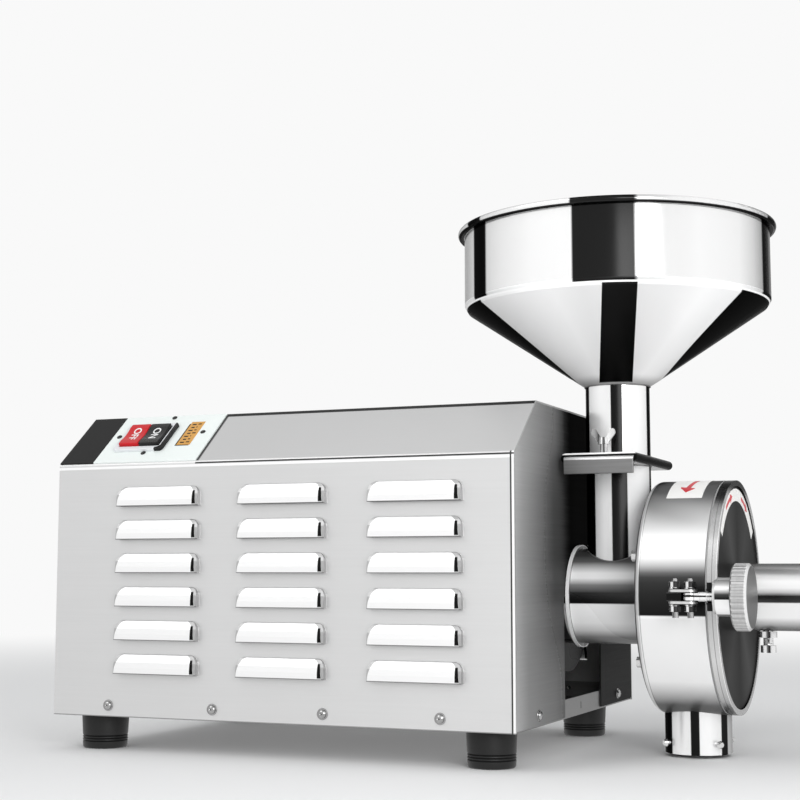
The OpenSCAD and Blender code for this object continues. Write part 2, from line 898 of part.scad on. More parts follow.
module motor_shaft() {
    tail_x = shell_x0 - shaft_tail;
    color(steel) from_face() difference() {
        union() {
            on_axis(tail_x) cylinder(r = shaft_r, h = drum_x - tail_x);
            on_axis(drum_x) cylinder(r = journal_r, h = shaft_end - drum_x);
        }
        translate([drive_pin_x, 0, axis_z]) rotate([90, 0, 0])
            cylinder(r = drive_pin_r + run, h = 3 * journal_r, center = true, $fn = 32);
    }
}

module rotor_core() {
    color("gray") from_face() {
        axis_tube(rotor_r, shaft_r + run, core_x0, core_x1);
        for (side = [core_x0 - 6, core_x1]) axis_tube(rotor_r - 3, rotor_r - 14, side, side + 6);
    }
}

module cooling_fan() {
    blades = 8;
    fan_hub_r = 22;
    fan_hub_l = 22;
    disc_t = 3;
    disc_in = 8;
    blade_t = 2;
    root = fan_hub_r - 1;
    color("black") from_face() {
        axis_tube(fan_hub_r, shaft_r + run, fan_x - fan_hub_l, fan_x);
        axis_tube(fan_r - disc_in, fan_hub_r - 0.1, fan_x - disc_t, fan_x);
        on_axis(fan_x - fan_hub_l) for (i = [0 : blades - 1])
            rotate([0, 0, i * 360 / blades]) translate([root, -blade_t / 2, 0])
                cube([fan_r - root, blade_t, fan_hub_l]);
    }
}

// ---------------------------------------------------------------- feed

auger_r = feed_bore - auger_gap;
auger_core = shaft_r + 4;
auger_x0 = 1;
auger_x1 = drum_x - 1;

// The flight's cross-section: a sector as wide as the flight is thick along the pitch
module flight_sector() {
    span = 360 * auger_t / auger_pitch;
    polygon(concat(
        [for (k = [0 : 5]) (auger_core - 1) * [cos(span * k / 5), sin(span * k / 5)]],
        [for (k = [5 : -1 : 0]) auger_r * [cos(span * k / 5), sin(span * k / 5)]]
    ));
}

module feed_auger() {
    length = auger_x1 - auger_x0 - 4;
    color(steel) from_face() {
        axis_tube(auger_core, shaft_r + run, auger_x0, auger_x1);
        on_axis(auger_x0 + 2)
            linear_extrude(length, twist = 360 * length / auger_pitch, slices = 44, segments = 16)
                flight_sector();
    }
}

module feed_housing() {
    color(steel) from_face() difference() {
        union() {
            on_axis(housing_back) cylinder(r = feed_r, h = fixed_x - housing_back);
            on_axis(housing_back) cylinder(r = housing_flange_r, h = housing_flange_t);
            on_axis(collar_x) cylinder(r = collar_r, h = collar_t);
            on_axis(flange_x) cylinder(r = flange_r, h = flange_t);
        }
        on_axis(housing_back - 1) cylinder(r = feed_bore, h = fixed_x - housing_back + 2);
        translate([neck_x, 0, axis_z]) cylinder(r = neck_bore, h = feed_r + 10);
        at_housing_bolts(housing_back - 1) cylinder(r = 3, h = housing_flange_t + 2, $fn = 24);
        at_chamber_bolts(flange_x - 1) cylinder(r = chamber_bolt_r, h = flange_t + 2, $fn = 24);
    }
}

module shaft_seal() {
    color("black") from_face()
        axis_tube(feed_bore, shaft_r + run, housing_back, housing_back + seal_l);
}

module feed_neck() {
    color(steel) from_face() difference() {
        translate([neck_x, 0, 0]) tube(neck_r, neck_bore, axis_z, sleeve_low);
        on_axis(-10) cylinder(r = feed_r, h = drum_x + 10);
    }
}

// ---------------------------------------------------------------- gate

// A flat outline in X and Z, extruded along Y from y to y + l
module along_y(y, l) {
    translate([0, y + l, 0]) rotate([90, 0, 0]) linear_extrude(l) children();
}

module gate_sleeve() {
    color(steel) from_face() translate([neck_x, 0, 0]) difference() {
        along_y(-sleeve_l / 2, sleeve_l) translate([0, gate_z]) difference() {
            polygon(rounded(box_outline(sleeve_w, sleeve_t), all_corners(4, sleeve_t / 2 - eps)));
            polygon(rounded(box_outline(slot_w, slot_h), all_corners(4, gate_gap)));
        }
        translate([0, 0, sleeve_low - 1]) cylinder(r = neck_bore, h = sleeve_t + 2);
        translate([0, wing_y, gate_z]) cylinder(r = wing_r + run, h = sleeve_t, $fn = 32);
    }
}

module gate_plate() {
    top = gate_z + gate_t / 2;
    outer = 4;
    profile = rounded(
        [[lip_y - gate_t, top - lip_h], [lip_y, top - lip_h], [lip_y, top - gate_t],
         [gate_back, top - gate_t], [gate_back, top], [lip_y - gate_t, top]],
        [0.6, 0.6, 0, 0.6, 0.6, outer]);
    color("darkgray") from_face() along_x(neck_x - gate_w / 2, gate_w) polygon(profile);
}

wing_rise = 12;
wing_reach = 10.5;

module wing() {
    translate([0, 1.1, 0]) rotate([90, 0, 0]) linear_extrude(2.2) polygon(rounded(
        [[1, 0], [5, 1], [wing_reach, 8.5], [wing_reach - 1, 13], [wing_reach - 4, 12], [2.5, 5.5]],
        [0, 1, 1.6, 1.6, 1, 1], 3));
}

module gate_screw() {
    low = gate_z + gate_t / 2 + gate_gap / 2;
    color(steel) from_face() translate([neck_x, wing_y, 0]) {
        translate([0, 0, low]) cylinder(r = wing_r, h = sleeve_top + wing_rise - low, $fn = 32);
        translate([0, 0, sleeve_top + wing_rise - 4]) cylinder(r1 = 5, r2 = 4, h = 6, $fn = 32);
        translate([0, 0, sleeve_top + wing_rise - 3]) {
            wing();
            rotate([0, 0, 180]) wing();
        }
    }
}

// ---------------------------------------------------------------- hopper

module hopper_neck() {
    color(steel) from_face() translate([neck_x, 0, 0]) tube(neck_r, neck_bore, sleeve_top, cone_z);
}

bead_r = 2.9;
edge_soft = 3;

wall_in = bowl_r - hopper_t;
cone_lift = hopper_t * (bowl_r - neck_r) / (bowl_z - cone_z) * 0.55;
seam_z = bowl_z + edge_soft + cone_lift;

// The spun cone, rounded over into the wall and welded to it at seam_z
module hopper_cone() {
    color(steel) from_face() translate([neck_x, 0, 0]) rotate_extrude() polygon([
        [neck_bore, cone_z], [neck_r, cone_z],
        [bowl_r - edge_soft, bowl_z - edge_soft * 0.66], [bowl_r, bowl_z + edge_soft],
        [bowl_r, seam_z], [wall_in, seam_z],
        [wall_in - edge_soft, bowl_z + cone_lift], [neck_bore, cone_z + cone_lift]
    ]);
}

// The straight wall with a rolled bead round its rim
module hopper() {
    bead_at = rim_r - bead_r;
    color(steel) from_face() translate([neck_x, 0, 0]) union() {
        tube(bowl_r, wall_in, seam_z, rim_z - bead_r);
        rotate_extrude() translate([bead_at, rim_z - bead_r]) circle(r = bead_r, $fn = 24);
        tube(max(bead_at, bowl_r), min(bead_at, wall_in), rim_z - 2 * bead_r, rim_z - bead_r / 2);
    }
}

// ---------------------------------------------------------------- drum

chamber_bolt_r = 3;
chamber_bolt_ring = 56;
chamber_bolt_count = 4;
rim_screw_r = 2;
rim_screw_ring = drum_r - drum_edge - 5.5;
rim_screw_count = 6;
rim_screw_turn = 7;

module at_chamber_bolts(x) {
    for (i = [0 : chamber_bolt_count - 1])
        on_axis(x) rotate([0, 0, 45 + 360 / chamber_bolt_count * i])
            translate([chamber_bolt_ring, 0, 0]) children();
}

// Small screws round the drum's back wall
module at_rim_screws(x) {
    for (i = [0 : rim_screw_count - 1])
        on_axis(x) rotate([0, 0, rim_screw_turn + 360 / rim_screw_count * i])
            translate([rim_screw_ring, 0, 0]) children();
}

spout_x = drum_x + drum_d / 2 + 0.8;

module grinding_chamber() {
    steps = 5;
    corner = [
        for (k = [0 : steps])
            [drum_r - drum_edge + drum_edge * sin(90 * k / steps),
             drum_edge - drum_edge * cos(90 * k / steps)]
    ];
    inner = [
        for (k = [steps : -1 : 0])
            [drum_r - drum_edge + (drum_edge - drum_t) * sin(90 * k / steps),
             drum_edge - (drum_edge - drum_t) * cos(90 * k / steps)]
    ];
    color(steel) from_face() difference() {
        on_axis(drum_x) rotate_extrude() polygon(concat(
            [[feed_r, 0]], corner,
            [[drum_r, drum_d], [drum_r - drum_t, drum_d]], inner,
            [[feed_r, drum_t]]));
        at_chamber_bolts(drum_x - 1) cylinder(r = chamber_bolt_r, h = drum_t + 2, $fn = 24);
        at_rim_screws(drum_x - 1) cylinder(r = rim_screw_r, h = drum_t + 2, $fn = 24);
        translate([spout_x, 0, 0]) cylinder(r = spout_r - spout_wall, h = axis_z - burr_r);
    }
}

module discharge_spout() {
    color(steel) from_face() difference() {
        translate([spout_x, 0, 0])
            tube(spout_r, spout_r - spout_wall, spout_low, axis_z - drum_r + 10);
        on_axis(drum_x - 5) cylinder(r = drum_r, h = drum_d + 10);
    }
}

module spout_pins() {
    color(steel) from_face() translate([spout_x, 0, spout_low + pin_rise])
        for (a = [45 : 90 : 315]) rotate([0, 90, a]) {
            translate([0, 0, spout_r]) cylinder(r = 1.8, h = 4, $fn = 24);
            translate([0, 0, spout_r + 4]) cylinder(r1 = 3.2, r2 = 2, h = 2.4, $fn = 24);
        }
}

module fixed_burr() {
    color("gray") from_face() difference() {
        union() {
            axis_tube(burr_r, feed_bore + 1, fixed_x, fixed_face);
            on_axis(fixed_face) burr_teeth(1);
        }
        at_chamber_bolts(fixed_x - 1) cylinder(r = chamber_bolt_r, h = burr_t - 2, $fn = 24);
    }
}

// Radial ridges with one steep and one sloping flank, long and short in turn
module burr_teeth(hand) {
    inner = feed_bore + 3;
    for (i = [0 : tooth_count - 1])
        rotate([0, 0, i * 360 / tooth_count])
            translate([i % 2 == 0 ? inner : (inner + burr_r) / 2, 0, 0])
                tooth((i % 2 == 0 ? burr_r - inner : (burr_r - inner) / 2) - 1, hand);
}

module tooth(length, hand) {
    foot = 2.2 * hand;
    rotate([90, 0, 90]) linear_extrude(length) polygon([
        [-foot, -0.5], [foot, -0.5], [foot, tooth_h], [foot - hand, tooth_h], [-foot, 0.2]
    ]);
}

module chamber_bolts() {
    head = 4.5;
    color(steel) from_face() {
        at_chamber_bolts(drum_x) {
            translate([0, 0, -head]) hexagon(6, head);
            cylinder(r = chamber_bolt_r, h = drum_t + flange_t + burr_t - 3.5, $fn = 24);
        }
        at_rim_screws(drum_x) {
            translate([0, 0, -head]) hexagon(4.5, head);
            cylinder(r = rim_screw_r, h = drum_t, $fn = 24);
        }
    }
}

drive_pin_r = 3;
drive_boss_r = 18;
drive_boss_l = 11.6;
drive_slot_l = 8;
drive_pin_x = moving_face - drive_boss_l + 3.2;

module drive_pin() {
    color(steel) from_face() translate([drive_pin_x, 0, axis_z])
        rotate([90, 0, 0]) cylinder(r = drive_pin_r, h = 2 * drive_boss_r - 1, center = true, $fn = 32);
}

module rotating_burr() {
    boss_x = moving_face - drive_boss_l;
    color("gray") from_face() difference() {
        union() {
            on_axis(moving_face) cylinder(r = burr_r, h = burr_t);
            on_axis(boss_x) cylinder(r = drive_boss_r, h = drive_boss_l);
            mirror_x(moving_face) on_axis(moving_face) burr_teeth(-1);
        }
        on_axis(boss_x - 1) cylinder(r = journal_r + run, h = drive_boss_l + burr_t + 2);
        translate([boss_x - 1, -drive_boss_r - 1, axis_z - drive_pin_r - 0.2])
            cube([drive_slot_l + 1, 2 * drive_boss_r + 2, 2 * drive_pin_r + 0.4]);
    }
}

cap_r = 20;

module burr_cap() {
    color(steel) from_face() difference() {
        on_axis(moving_back) rotate_extrude() polygon([
            [0, 0], [cap_r, 0], [cap_r, 3], [13, cap_l], [0, cap_l]
        ]);
        on_axis(moving_back - 1)
            cylinder(r = journal_r + run, h = shaft_end - moving_back + burr_slack + 1);
    }
}

// Two hinge ears on the far side and the latch lug on the near side
module chamber_lugs() {
    color(steel) from_face() difference() {
        union() {
            for (side = [-1, 1])
                translate([0, 0, axis_z + side * (knuckle_h + pass + ear_t / 2) - ear_t / 2])
                    linear_extrude(ear_t) {
                        translate([hinge_x, hinge_y]) circle(r = ear_r);
                        translate([hinge_x - ear_r, drum_r - 10]) square([ear_r - 1.2, hinge_out + 10]);
                    }
            translate([bolt_x - plate_r, latch_y - plate_r, latch_z - eye_t / 2 - 0.2])
                cube([bolt_step + plate_r - eye_r - pass, plate_r + latch_out + 10, eye_t + 0.4]);
        }
        on_axis(drum_x) cylinder(r = drum_r, h = drum_d + 20);
        translate([hinge_x, hinge_y, 0]) cylinder(r = hinge_pin_r + run, h = 2 * axis_z);
        translate([bolt_x, latch_y, 0]) cylinder(r = latch_bolt_r + run, h = 2 * axis_z, $fn = 32);
    }
}

// ---------------------------------------------------------------- cover

module hinge_pin() {
    reach = knuckle_h + pass + ear_t;
    color(steel) from_face() translate([hinge_x, hinge_y, axis_z - reach - 1]) {
        cylinder(r = hinge_pin_r, h = 2 * reach + 1);
        translate([0, 0, 2 * reach + 1 + pass / 2]) cylinder(r = hinge_pin_r + 2, h = 2.5);
        translate([0, 0, 2 * reach + 1]) cylinder(r = hinge_pin_r, h = pass);
    }
}

boss_r = 20;
boss_l = 5;

module front_cover() {
    color(dark_steel) from_face() difference() {
        union() {
            on_axis(disc_back) cylinder(r = drum_r, h = cover_t);
            on_axis(cover_x) cylinder(r = drum_r, h = rim_d);
            on_axis(disc_back - boss_l) cylinder(r = boss_r, h = boss_l + 1);
        }
        axis_tube(drum_r - drum_t - 1, boss_r, cover_x - 10, disc_back);
        on_axis(disc_front) cylinder(r = drum_r - rim_w, h = recess + 1);
        on_axis(disc_back - boss_l - 1) cylinder(r = screw_r + run, h = boss_l + cover_t + 2);
    }
}

module cover_gasket() {
    color("black") from_face() axis_tube(drum_r - 0.3, drum_r - drum_t - 1, gasket_x, cover_x);
}

// The fork that the swing bolt passes and the hinge knuckle, both on the cover's rim
module cover_lugs() {
    arm_x = hinge_x + 0.5;
    slot = swing_r + 0.7;
    color(steel) from_face() difference() {
        union() {
            translate([arm_x, drum_r - 10, axis_z - knuckle_h])
                cube([cover_front - arm_x, hinge_out + 10, 2 * knuckle_h]);
            translate([hinge_x, hinge_y, axis_z - knuckle_h]) cylinder(r = ear_r, h = 2 * knuckle_h);
            translate([fork_front - fork_t, latch_y - fork_reach, latch_z - fork_h / 2])
                cube([fork_t, latch_out + fork_reach + 10, fork_h]);
        }
        on_axis(cover_x - 10) cylinder(r = drum_r, h = rim_d + 20);
        translate([hinge_x, hinge_y, 0]) cylinder(r = hinge_pin_r + run, h = 2 * axis_z);
        translate([fork_front - fork_t - 1, latch_y, latch_z]) rotate([0, 90, 0])
            cylinder(r = slot, h = fork_t + 2, $fn = 48);
        translate([fork_front - fork_t - 1, latch_y - 20, latch_z - slot]) cube([fork_t + 2, 20, 2 * slot]);
    }
}

module adjusting_sleeve() {
    color(steel) from_face() difference() {
        axis_tube(tube_r, tube_r - tube_wall, disc_front, tube_end);
        lock_hole(tube_r + 2);
    }
}

lock_r = 4;

module lock_hole(depth) {
    translate([disc_front + lock_x, 0, axis_z - depth]) cylinder(r = lock_r + run, h = depth, $fn = 32);
}

module sleeve_nut() {
    color("gray") from_face() difference() {
        axis_tube(tube_r - tube_wall, screw_r + run, nut_x, nut_x + nut_l);
        lock_hole(tube_r);
    }
}

module thrust_bearing() {
    color(steel) from_face() on_axis(thrust_x) rotate_extrude() polygon([
        [0, 0], [16, 0], [16, 3], [14.5, 3.4], [14.5, 4.6], [16, 5], [16, thrust_l], [0, thrust_l]
    ]);
}

module adjusting_screw() {
    color(steel) from_face() on_axis(screw_x + 0.2)
        cylinder(r = screw_r, h = knob_x + knob_l / 2 - screw_x);
}

// A hand knob with finger scallops round its rim
module adjusting_knob() {
    scallops = 10;
    color(steel) from_face() difference() {
        on_axis(knob_x) rotate_extrude() polygon([
            [0, 0], [knob_r - 6, 0], [knob_r - 6, 4], [knob_r, 7], [knob_r, knob_l - 2],
            [knob_r - 2, knob_l], [0, knob_l]
        ]);
        for (i = [0 : scallops - 1])
            on_axis(knob_x + 4) rotate([0, 0, i * 360 / scallops])
                translate([knob_r + 4, 0, 0]) cylinder(r = 7, h = knob_l, $fn = 32);
        on_axis(knob_x - 1) cylinder(r = screw_r + run, h = knob_l / 2 + 1.5);
    }
}

lock_top = axis_z - screw_r - 0.3;

module lock_screw() {
    tube_low = axis_z - tube_r;
    color(steel) from_face() translate([disc_front + lock_x, 0, 0]) {
        translate([0, 0, tube_low - 14]) cylinder(r = lock_r, h = lock_top - tube_low + 14, $fn = 32);
        translate([0, 0, tube_low - 5.5]) hexagon(7.5, 5);
        translate([0, 0, tube_low - 18]) hexagon(6.5, 6);
    }
}

// ---------------------------------------------------------------- latch

// Two side plates with the two bolts that hold them
module latch_plates() {
    gap = eye_t / 2 + 0.2;
    color(steel) from_face() latch_bolts();
    color(steel) from_face() for (z = [latch_z + gap, latch_z - gap - latch_plate_t])
        translate([0, 0, z]) linear_extrude(latch_plate_t) difference() {
            union() {
                for (x = [bolt_x, pivot_x]) translate([x, latch_y]) circle(r = plate_r);
                translate([bolt_x, latch_y - plate_r]) square([bolt_step, 2 * plate_r]);
            }
            for (x = [bolt_x, pivot_x]) translate([x, latch_y]) circle(r = latch_bolt_r + run);
        }
}

module latch_bolts() {
    stack = eye_t / 2 + 0.2 + latch_plate_t;
    head = 5.5;
    nut = 4.5;
    tail = 6;
    lid = 2.5;
    for (x = [bolt_x, pivot_x]) translate([x, latch_y, latch_z]) {
        translate([0, 0, stack]) hexagon(4.6, head);
        translate([0, 0, stack + head])
            cylinder(r1 = latch_bolt_r, r2 = latch_bolt_r - 0.8, h = lid, $fn = 32);
        translate([0, 0, -stack - nut - tail]) cylinder(r = latch_bolt_r, h = 2 * stack + nut + tail);
        translate([0, 0, -stack - nut]) hexagon(4.6, nut);
    }
}

module swing_bolt() {
    tongue = plate_r + 1.2;
    color(steel) from_face() translate([pivot_x, latch_y, latch_z]) difference() {
        union() {
            translate([0, 0, -eye_t / 2]) cylinder(r = eye_r, h = eye_t);
            translate([0, -swing_r, -eye_t / 2]) cube([tongue + 1, 2 * swing_r, eye_t]);
            translate([tongue, 0, 0]) rotate([0, 90, 0])
                cylinder(r = swing_r, h = swing_end - pivot_x - tongue);
        }
        translate([0, 0, -eye_t]) cylinder(r = latch_bolt_r + run, h = 2 * eye_t);
    }
}

module clamp_washer() {
    color(steel) from_face() translate([washer_x, latch_y, latch_z]) rotate([0, 90, 0])
        tube(13, swing_r + 0.3, 0, washer_t);
}

// A thumb knob: a stepped hub and a knurled disc, threaded over the swing bolt
module clamp_knob() {
    disc_l = clamp_l - hub_l;
    ribs = 36;
    color(steel) from_face() translate([clamp_x, latch_y, latch_z]) rotate([0, 90, 0]) difference() {
        rotate_extrude() polygon([
            [0, 0], [hub_r, 0], [hub_r, hub_l - 2], [hub_r - 1.5, hub_l],
            [clamp_r - 1.5, hub_l], [clamp_r, hub_l + 1.5], [clamp_r, clamp_l - 2], [clamp_r - 2, clamp_l],
            [0, clamp_l]
        ]);
        translate([0, 0, -1]) cylinder(r = swing_r + run, h = clamp_l - clamp_floor + 1);
        for (i = [0 : ribs - 1]) rotate([0, 0, i * 360 / ribs])
            translate([clamp_r + 0.9, 0, hub_l - 1]) cylinder(r = 1.6, h = disc_l + 2, $fn = 16);
    }
}

base_tray();
rubber_feet();
foot_screws();
cover_wrap();
right_panel();
left_panel();
cover_screws();
cable_gland();
dark_plate();
switch_plate();
switch_bezel();
switch_body();
on_key();
off_key();
motor_stand();
motor_shell();
stator_core();
stator_windings();
front_bell();
rear_bell();
motor_bolts();
motor_bearings();
fan_cowl();
capacitor();
motor_shaft();
rotor_core();
cooling_fan();
feed_auger();
drive_pin();
feed_housing();
shaft_seal();
feed_neck();
gate_sleeve();
gate_plate();
gate_screw();
hopper_neck();
hopper_cone();
hopper();
grinding_chamber();
chamber_lugs();
fixed_burr();
chamber_bolts();
discharge_spout();
spout_pins();
rotating_burr();
burr_cap();
front_cover();
cover_gasket();
cover_lugs();
hinge_pin();
adjusting_sleeve();
sleeve_nut();
thrust_bearing();
adjusting_screw();
adjusting_knob();
lock_screw();
latch_plates();
swing_bolt();
clamp_washer();
clamp_knob();
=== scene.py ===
"""Dresses the electric grain mill: finishes, labels, switch legends, seams, threads and a plain studio."""

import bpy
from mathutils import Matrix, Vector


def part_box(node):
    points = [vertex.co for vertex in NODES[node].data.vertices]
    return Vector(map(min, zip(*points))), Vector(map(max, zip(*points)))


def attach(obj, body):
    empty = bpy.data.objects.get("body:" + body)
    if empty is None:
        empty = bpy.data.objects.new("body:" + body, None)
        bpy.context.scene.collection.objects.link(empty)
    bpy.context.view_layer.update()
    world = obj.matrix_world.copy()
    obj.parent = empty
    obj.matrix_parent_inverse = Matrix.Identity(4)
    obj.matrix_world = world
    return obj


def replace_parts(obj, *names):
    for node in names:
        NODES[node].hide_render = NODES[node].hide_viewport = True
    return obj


bl_info = {
    "name": "Grain Mill Finish",
    "version": (1, 0, 0),
    "blender": (4, 5, 0),
    "location": "View3D > Sidebar > Grain Mill",
    "description": "Finishes, small fittings and a plain studio for an electric grain mill",
    "category": "Object",
}

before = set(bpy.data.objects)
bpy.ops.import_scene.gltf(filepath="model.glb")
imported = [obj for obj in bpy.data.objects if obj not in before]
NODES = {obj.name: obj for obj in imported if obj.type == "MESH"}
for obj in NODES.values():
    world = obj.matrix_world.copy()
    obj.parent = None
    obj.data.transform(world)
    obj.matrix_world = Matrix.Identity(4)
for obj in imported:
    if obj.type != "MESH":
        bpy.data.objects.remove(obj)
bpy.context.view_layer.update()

import math
from functools import cache

import bmesh
import bpy
from bpy.props import FloatProperty, FloatVectorProperty, IntProperty, PointerProperty
from mathutils import Matrix, Vector

QUARTER = math.pi / 2


def middle(node):
    """The middle of a solid's box."""
    return sum(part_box(node), Vector()) / 2


def half(node, axis):
    """Half the size of a solid along one axis."""
    low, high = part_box(node)
    return (high[axis] - low[axis]) / 2


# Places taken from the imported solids
REAR_END, FACE = (corner.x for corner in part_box("cover_wrap"))
AXIS_Z = middle("motor_shaft").z
NECK, SPOUT = middle("hopper_neck"), middle("discharge_spout")
DRUM_X, DRUM_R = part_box("grinding_chamber")[0].x, half("grinding_chamber", 2)
COVER_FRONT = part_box("front_cover")[1].x
DISC_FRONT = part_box("adjusting_sleeve")[0].x
RIM_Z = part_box("hopper")[1].z
GATE_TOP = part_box("gate_plate")[1].z
SLEEVE_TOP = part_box("gate_sleeve")[1].z
PLATE_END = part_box("switch_plate")[1].x
CLAMP_BACK, CLAMP_FRONT = (corner.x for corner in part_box("clamp_knob"))
FEED_R = half("shaft_seal", 2) + 0.0045

# Sizes of the cabinet's sheet
FRONT, CABINET_L = -0.175, 0.427
FOLD_Z, ROOF_Z, SLOPE_RUN = 0.248, 0.294, 0.056
SLOPE_TURN = math.atan2(ROOF_Z - FOLD_Z, SLOPE_RUN)
LOUVRE_X, LOUVRE_STEP_X = FACE - 0.0835, 0.1195
LOUVRE_Z, LOUVRE_STEP_Z = 0.067, 0.0287
# The switch on the slope
SWITCH_X, SWITCH_UP, KEY_TOP = FACE - 0.354, 0.03624, 0.007
BEZEL_W = half("switch_bezel", 0)
BEZEL_L = half("switch_bezel", 1) / math.cos(SLOPE_TURN) - 0.001
BEZEL_BEND, KEY_WELL = 0.007, 0.0052
STRIP_X, STRIP_UP = FACE - 0.3115, 0.0423
# The hopper, the gate, the feed housing's collar, the latch and the cover's label
NECK_R, BOWL_R, BOWL_Z = 0.028, 0.1343, 0.386
LIP_BEND, SLEEVE_FRONT, COLLAR_R, WELD_LIFT = -0.062, -0.063, 0.0445, 0.0001
LATCH = Vector((FACE + 0.112, *middle("swing_bolt").yz))
BOLT_STEP, EYE_HALF = 0.012, 0.0061
CLAMP_STEP = CLAMP_BACK + 0.013
LABEL_OUT = DRUM_R - 0.0070
# The camera: its place, and its turn and rise from the Y axis
EYE = Vector((0.49612, -1.31486, 0.15662))
AIM_TURN, AIM_RISE = math.radians(23.065), math.radians(6.2696)
FLOOR_R, FLOOR_FADE = 9.0, (0.8, 2.6)

# The stretch of marks that run evenly, or along an axis
EVEN, ALONG_X, ALONG_Y, ALONG_Z = (1.0, 1.0, 1.0), (0.03, 1.0, 1.0), (1.0, 0.03, 1.0), (1.0, 1.0, 0.06)
LONG_X, LONG_Y = (0.02, 1.0, 1.0), (1.0, 0.02, 1.0)
STEEL_EDGE = (0.3, 0.3, 0.3, 1.0)


def grey(level, tint=EVEN):
    """A linear colour from a display grey of 0 to 255, with a tint on each channel."""
    def linear(c):
        c = min(max(c / 255.0, 0.0), 1.0)
        return c / 12.92 if c <= 0.04045 else ((c + 0.055) / 1.055) ** 2.4
    return tuple(linear(level * t) for t in tint) + (1.0,)


def coloured(value):
    """A colour or link as it is, and a plain number as a display grey."""
    return grey(value) if isinstance(value, (int, float)) else value


# ---------------------------------------------------------------- node trees

class Wire:
    """An output socket. Arithmetic with it adds Math nodes to its tree."""

    def __init__(self, maker, socket):
        self.maker, self.socket = maker, socket

    def other(self, key):
        """Another output of the same node."""
        return Wire(self.maker, self.socket.node.outputs[key])

    def math(self, operation, *others):
        """The result of a Math node with this socket first."""
        return self.maker.maths(operation, self, *others)

    def __add__(self, other):
        return self.math("ADD", other)

    def __sub__(self, other):
        return self.math("SUBTRACT", other)

    def __rsub__(self, other):
        return self.maker.maths("SUBTRACT", other, self)

    def __mul__(self, other):
        return self.math("MULTIPLY", other)

    def __truediv__(self, other):
        return self.math("DIVIDE", other)

    def __rtruediv__(self, other):
        return self.maker.maths("DIVIDE", other, self)

    def __gt__(self, other):
        return self.math("GREATER_THAN", other)

    def __or__(self, other):
        return self.math("MAXIMUM", other)

    def __abs__(self):
        return self.math("ABSOLUTE")

    __radd__, __rmul__ = __add__, __mul__


def span(a, b):
    """The length that two sides at a right angle give."""
    return (a * a + b * b).math("SQRT")


class Maker:
    """Adds nodes to one tree."""

    def __init__(self, tree):
        self.tree = tree
        tree.nodes.clear()

    def add(self, kind, settings=None, sockets=None, out=0):
        """Adds a node, applies its settings, then its values and links, and gives back one output."""
        node = self.tree.nodes.new(kind)
        for key, value in (settings or {}).items():
            if key == "stops":
                elements = node.color_ramp.elements
                while len(elements) > 1:
                    elements.remove(elements[-1])
                for i, (position, colour) in enumerate(value):
                    element = elements[0] if i == 0 else elements.new(position)
                    element.position, element.color = position, coloured(colour)
            else:
                setattr(node, key, value)
        for key, value in (sockets or {}).items():
            if isinstance(value, Wire):
                self.tree.links.new(value.socket, node.inputs[key])
            else:
                node.inputs[key].default_value = value
        return Wire(self, node.outputs[out]) if node.outputs else None

    def maths(self, operation, *values):
        """A Math node."""
        return self.add("ShaderNodeMath", {"operation": operation}, dict(enumerate(values)))

    def xyz(self):
        """Object coordinates as three numbers, in metres."""
        x = self.add("ShaderNodeSeparateXYZ", None, {0: self.add("ShaderNodeTexCoord", out="Object")})
        return x, x.other(1), x.other(2)

    def noise(self, scale, detail=2.0, stretch=EVEN, rough=0.5):
        """Smooth noise from 0 to 1, stretched along the axes."""
        spot = self.add("ShaderNodeMapping", None, {
            "Vector": self.add("ShaderNodeTexCoord", out="Object"), "Scale": stretch})
        return self.add("ShaderNodeTexNoise", None,
                        {"Vector": spot, "Scale": scale, "Detail": detail, "Roughness": rough})

    def rings(self, value, scale):
        """Noise from 0 to 1 that follows one number, for marks of turning."""
        return self.add("ShaderNodeTexNoise", {"noise_dimensions": "1D"},
                        {"W": value, "Scale": scale, "Detail": 2.0})

    def ramp(self, value, stops):
        """A colour that follows value through stops of (place, colour or display grey)."""
        return self.add("ShaderNodeValToRGB", {"stops": stops}, {0: value})

    def around(self, turn, levels):
        """A tone round an axis, from (degrees off the facing line, display grey) for half a turn."""
        return self.ramp(turn, [(0.5 + angle / 180.0, level) for angle, level in levels])

    def step(self, value, low, high):
        """Rises smoothly from 0 at low to 1 at high."""
        return self.add("ShaderNodeMapRange", {"interpolation_type": "SMOOTHSTEP"},
                        {0: value, 1: low, 2: high})

    def fall(self, value, low, high):
        """Falls smoothly from 1 at low to 0 at high."""
        return 1.0 - self.step(value, low, high)

    def within(self, value, low, high, soft=0.0002):
        """1 between low and high, with soft edges."""
        return self.step(value, low - soft, low + soft) * self.fall(value, high - soft, high + soft)

    def mix(self, amount, first, second):
        """Mixes two colours."""
        return self.add("ShaderNodeMix", {"data_type": "RGBA", "blend_type": "MIX"},
                        {0: amount, 6: coloured(first), 7: coloured(second)}, out=2)

    def lay(self, tone, *coats):
        """Lays coats of (amount, colour) over a tone, one after the other."""
        for amount, colour in coats:
            tone = self.mix(amount, tone, colour)
        return tone

    def bump(self, height, distance, strength=1.0):
        """A normal that follows a height field; distance is the height's full range in metres."""
        return self.add("ShaderNodeBump", None,
                        {"Height": height, "Distance": distance, "Strength": strength})


def skin(tone, rough, normal=None, metallic=None):
    """The sockets of a finish that vary over its surface."""
    sockets = {"Base Color": tone, "Roughness": rough, "Normal": normal, "Metallic": metallic}
    return {name: value for name, value in sockets.items() if value is not None}


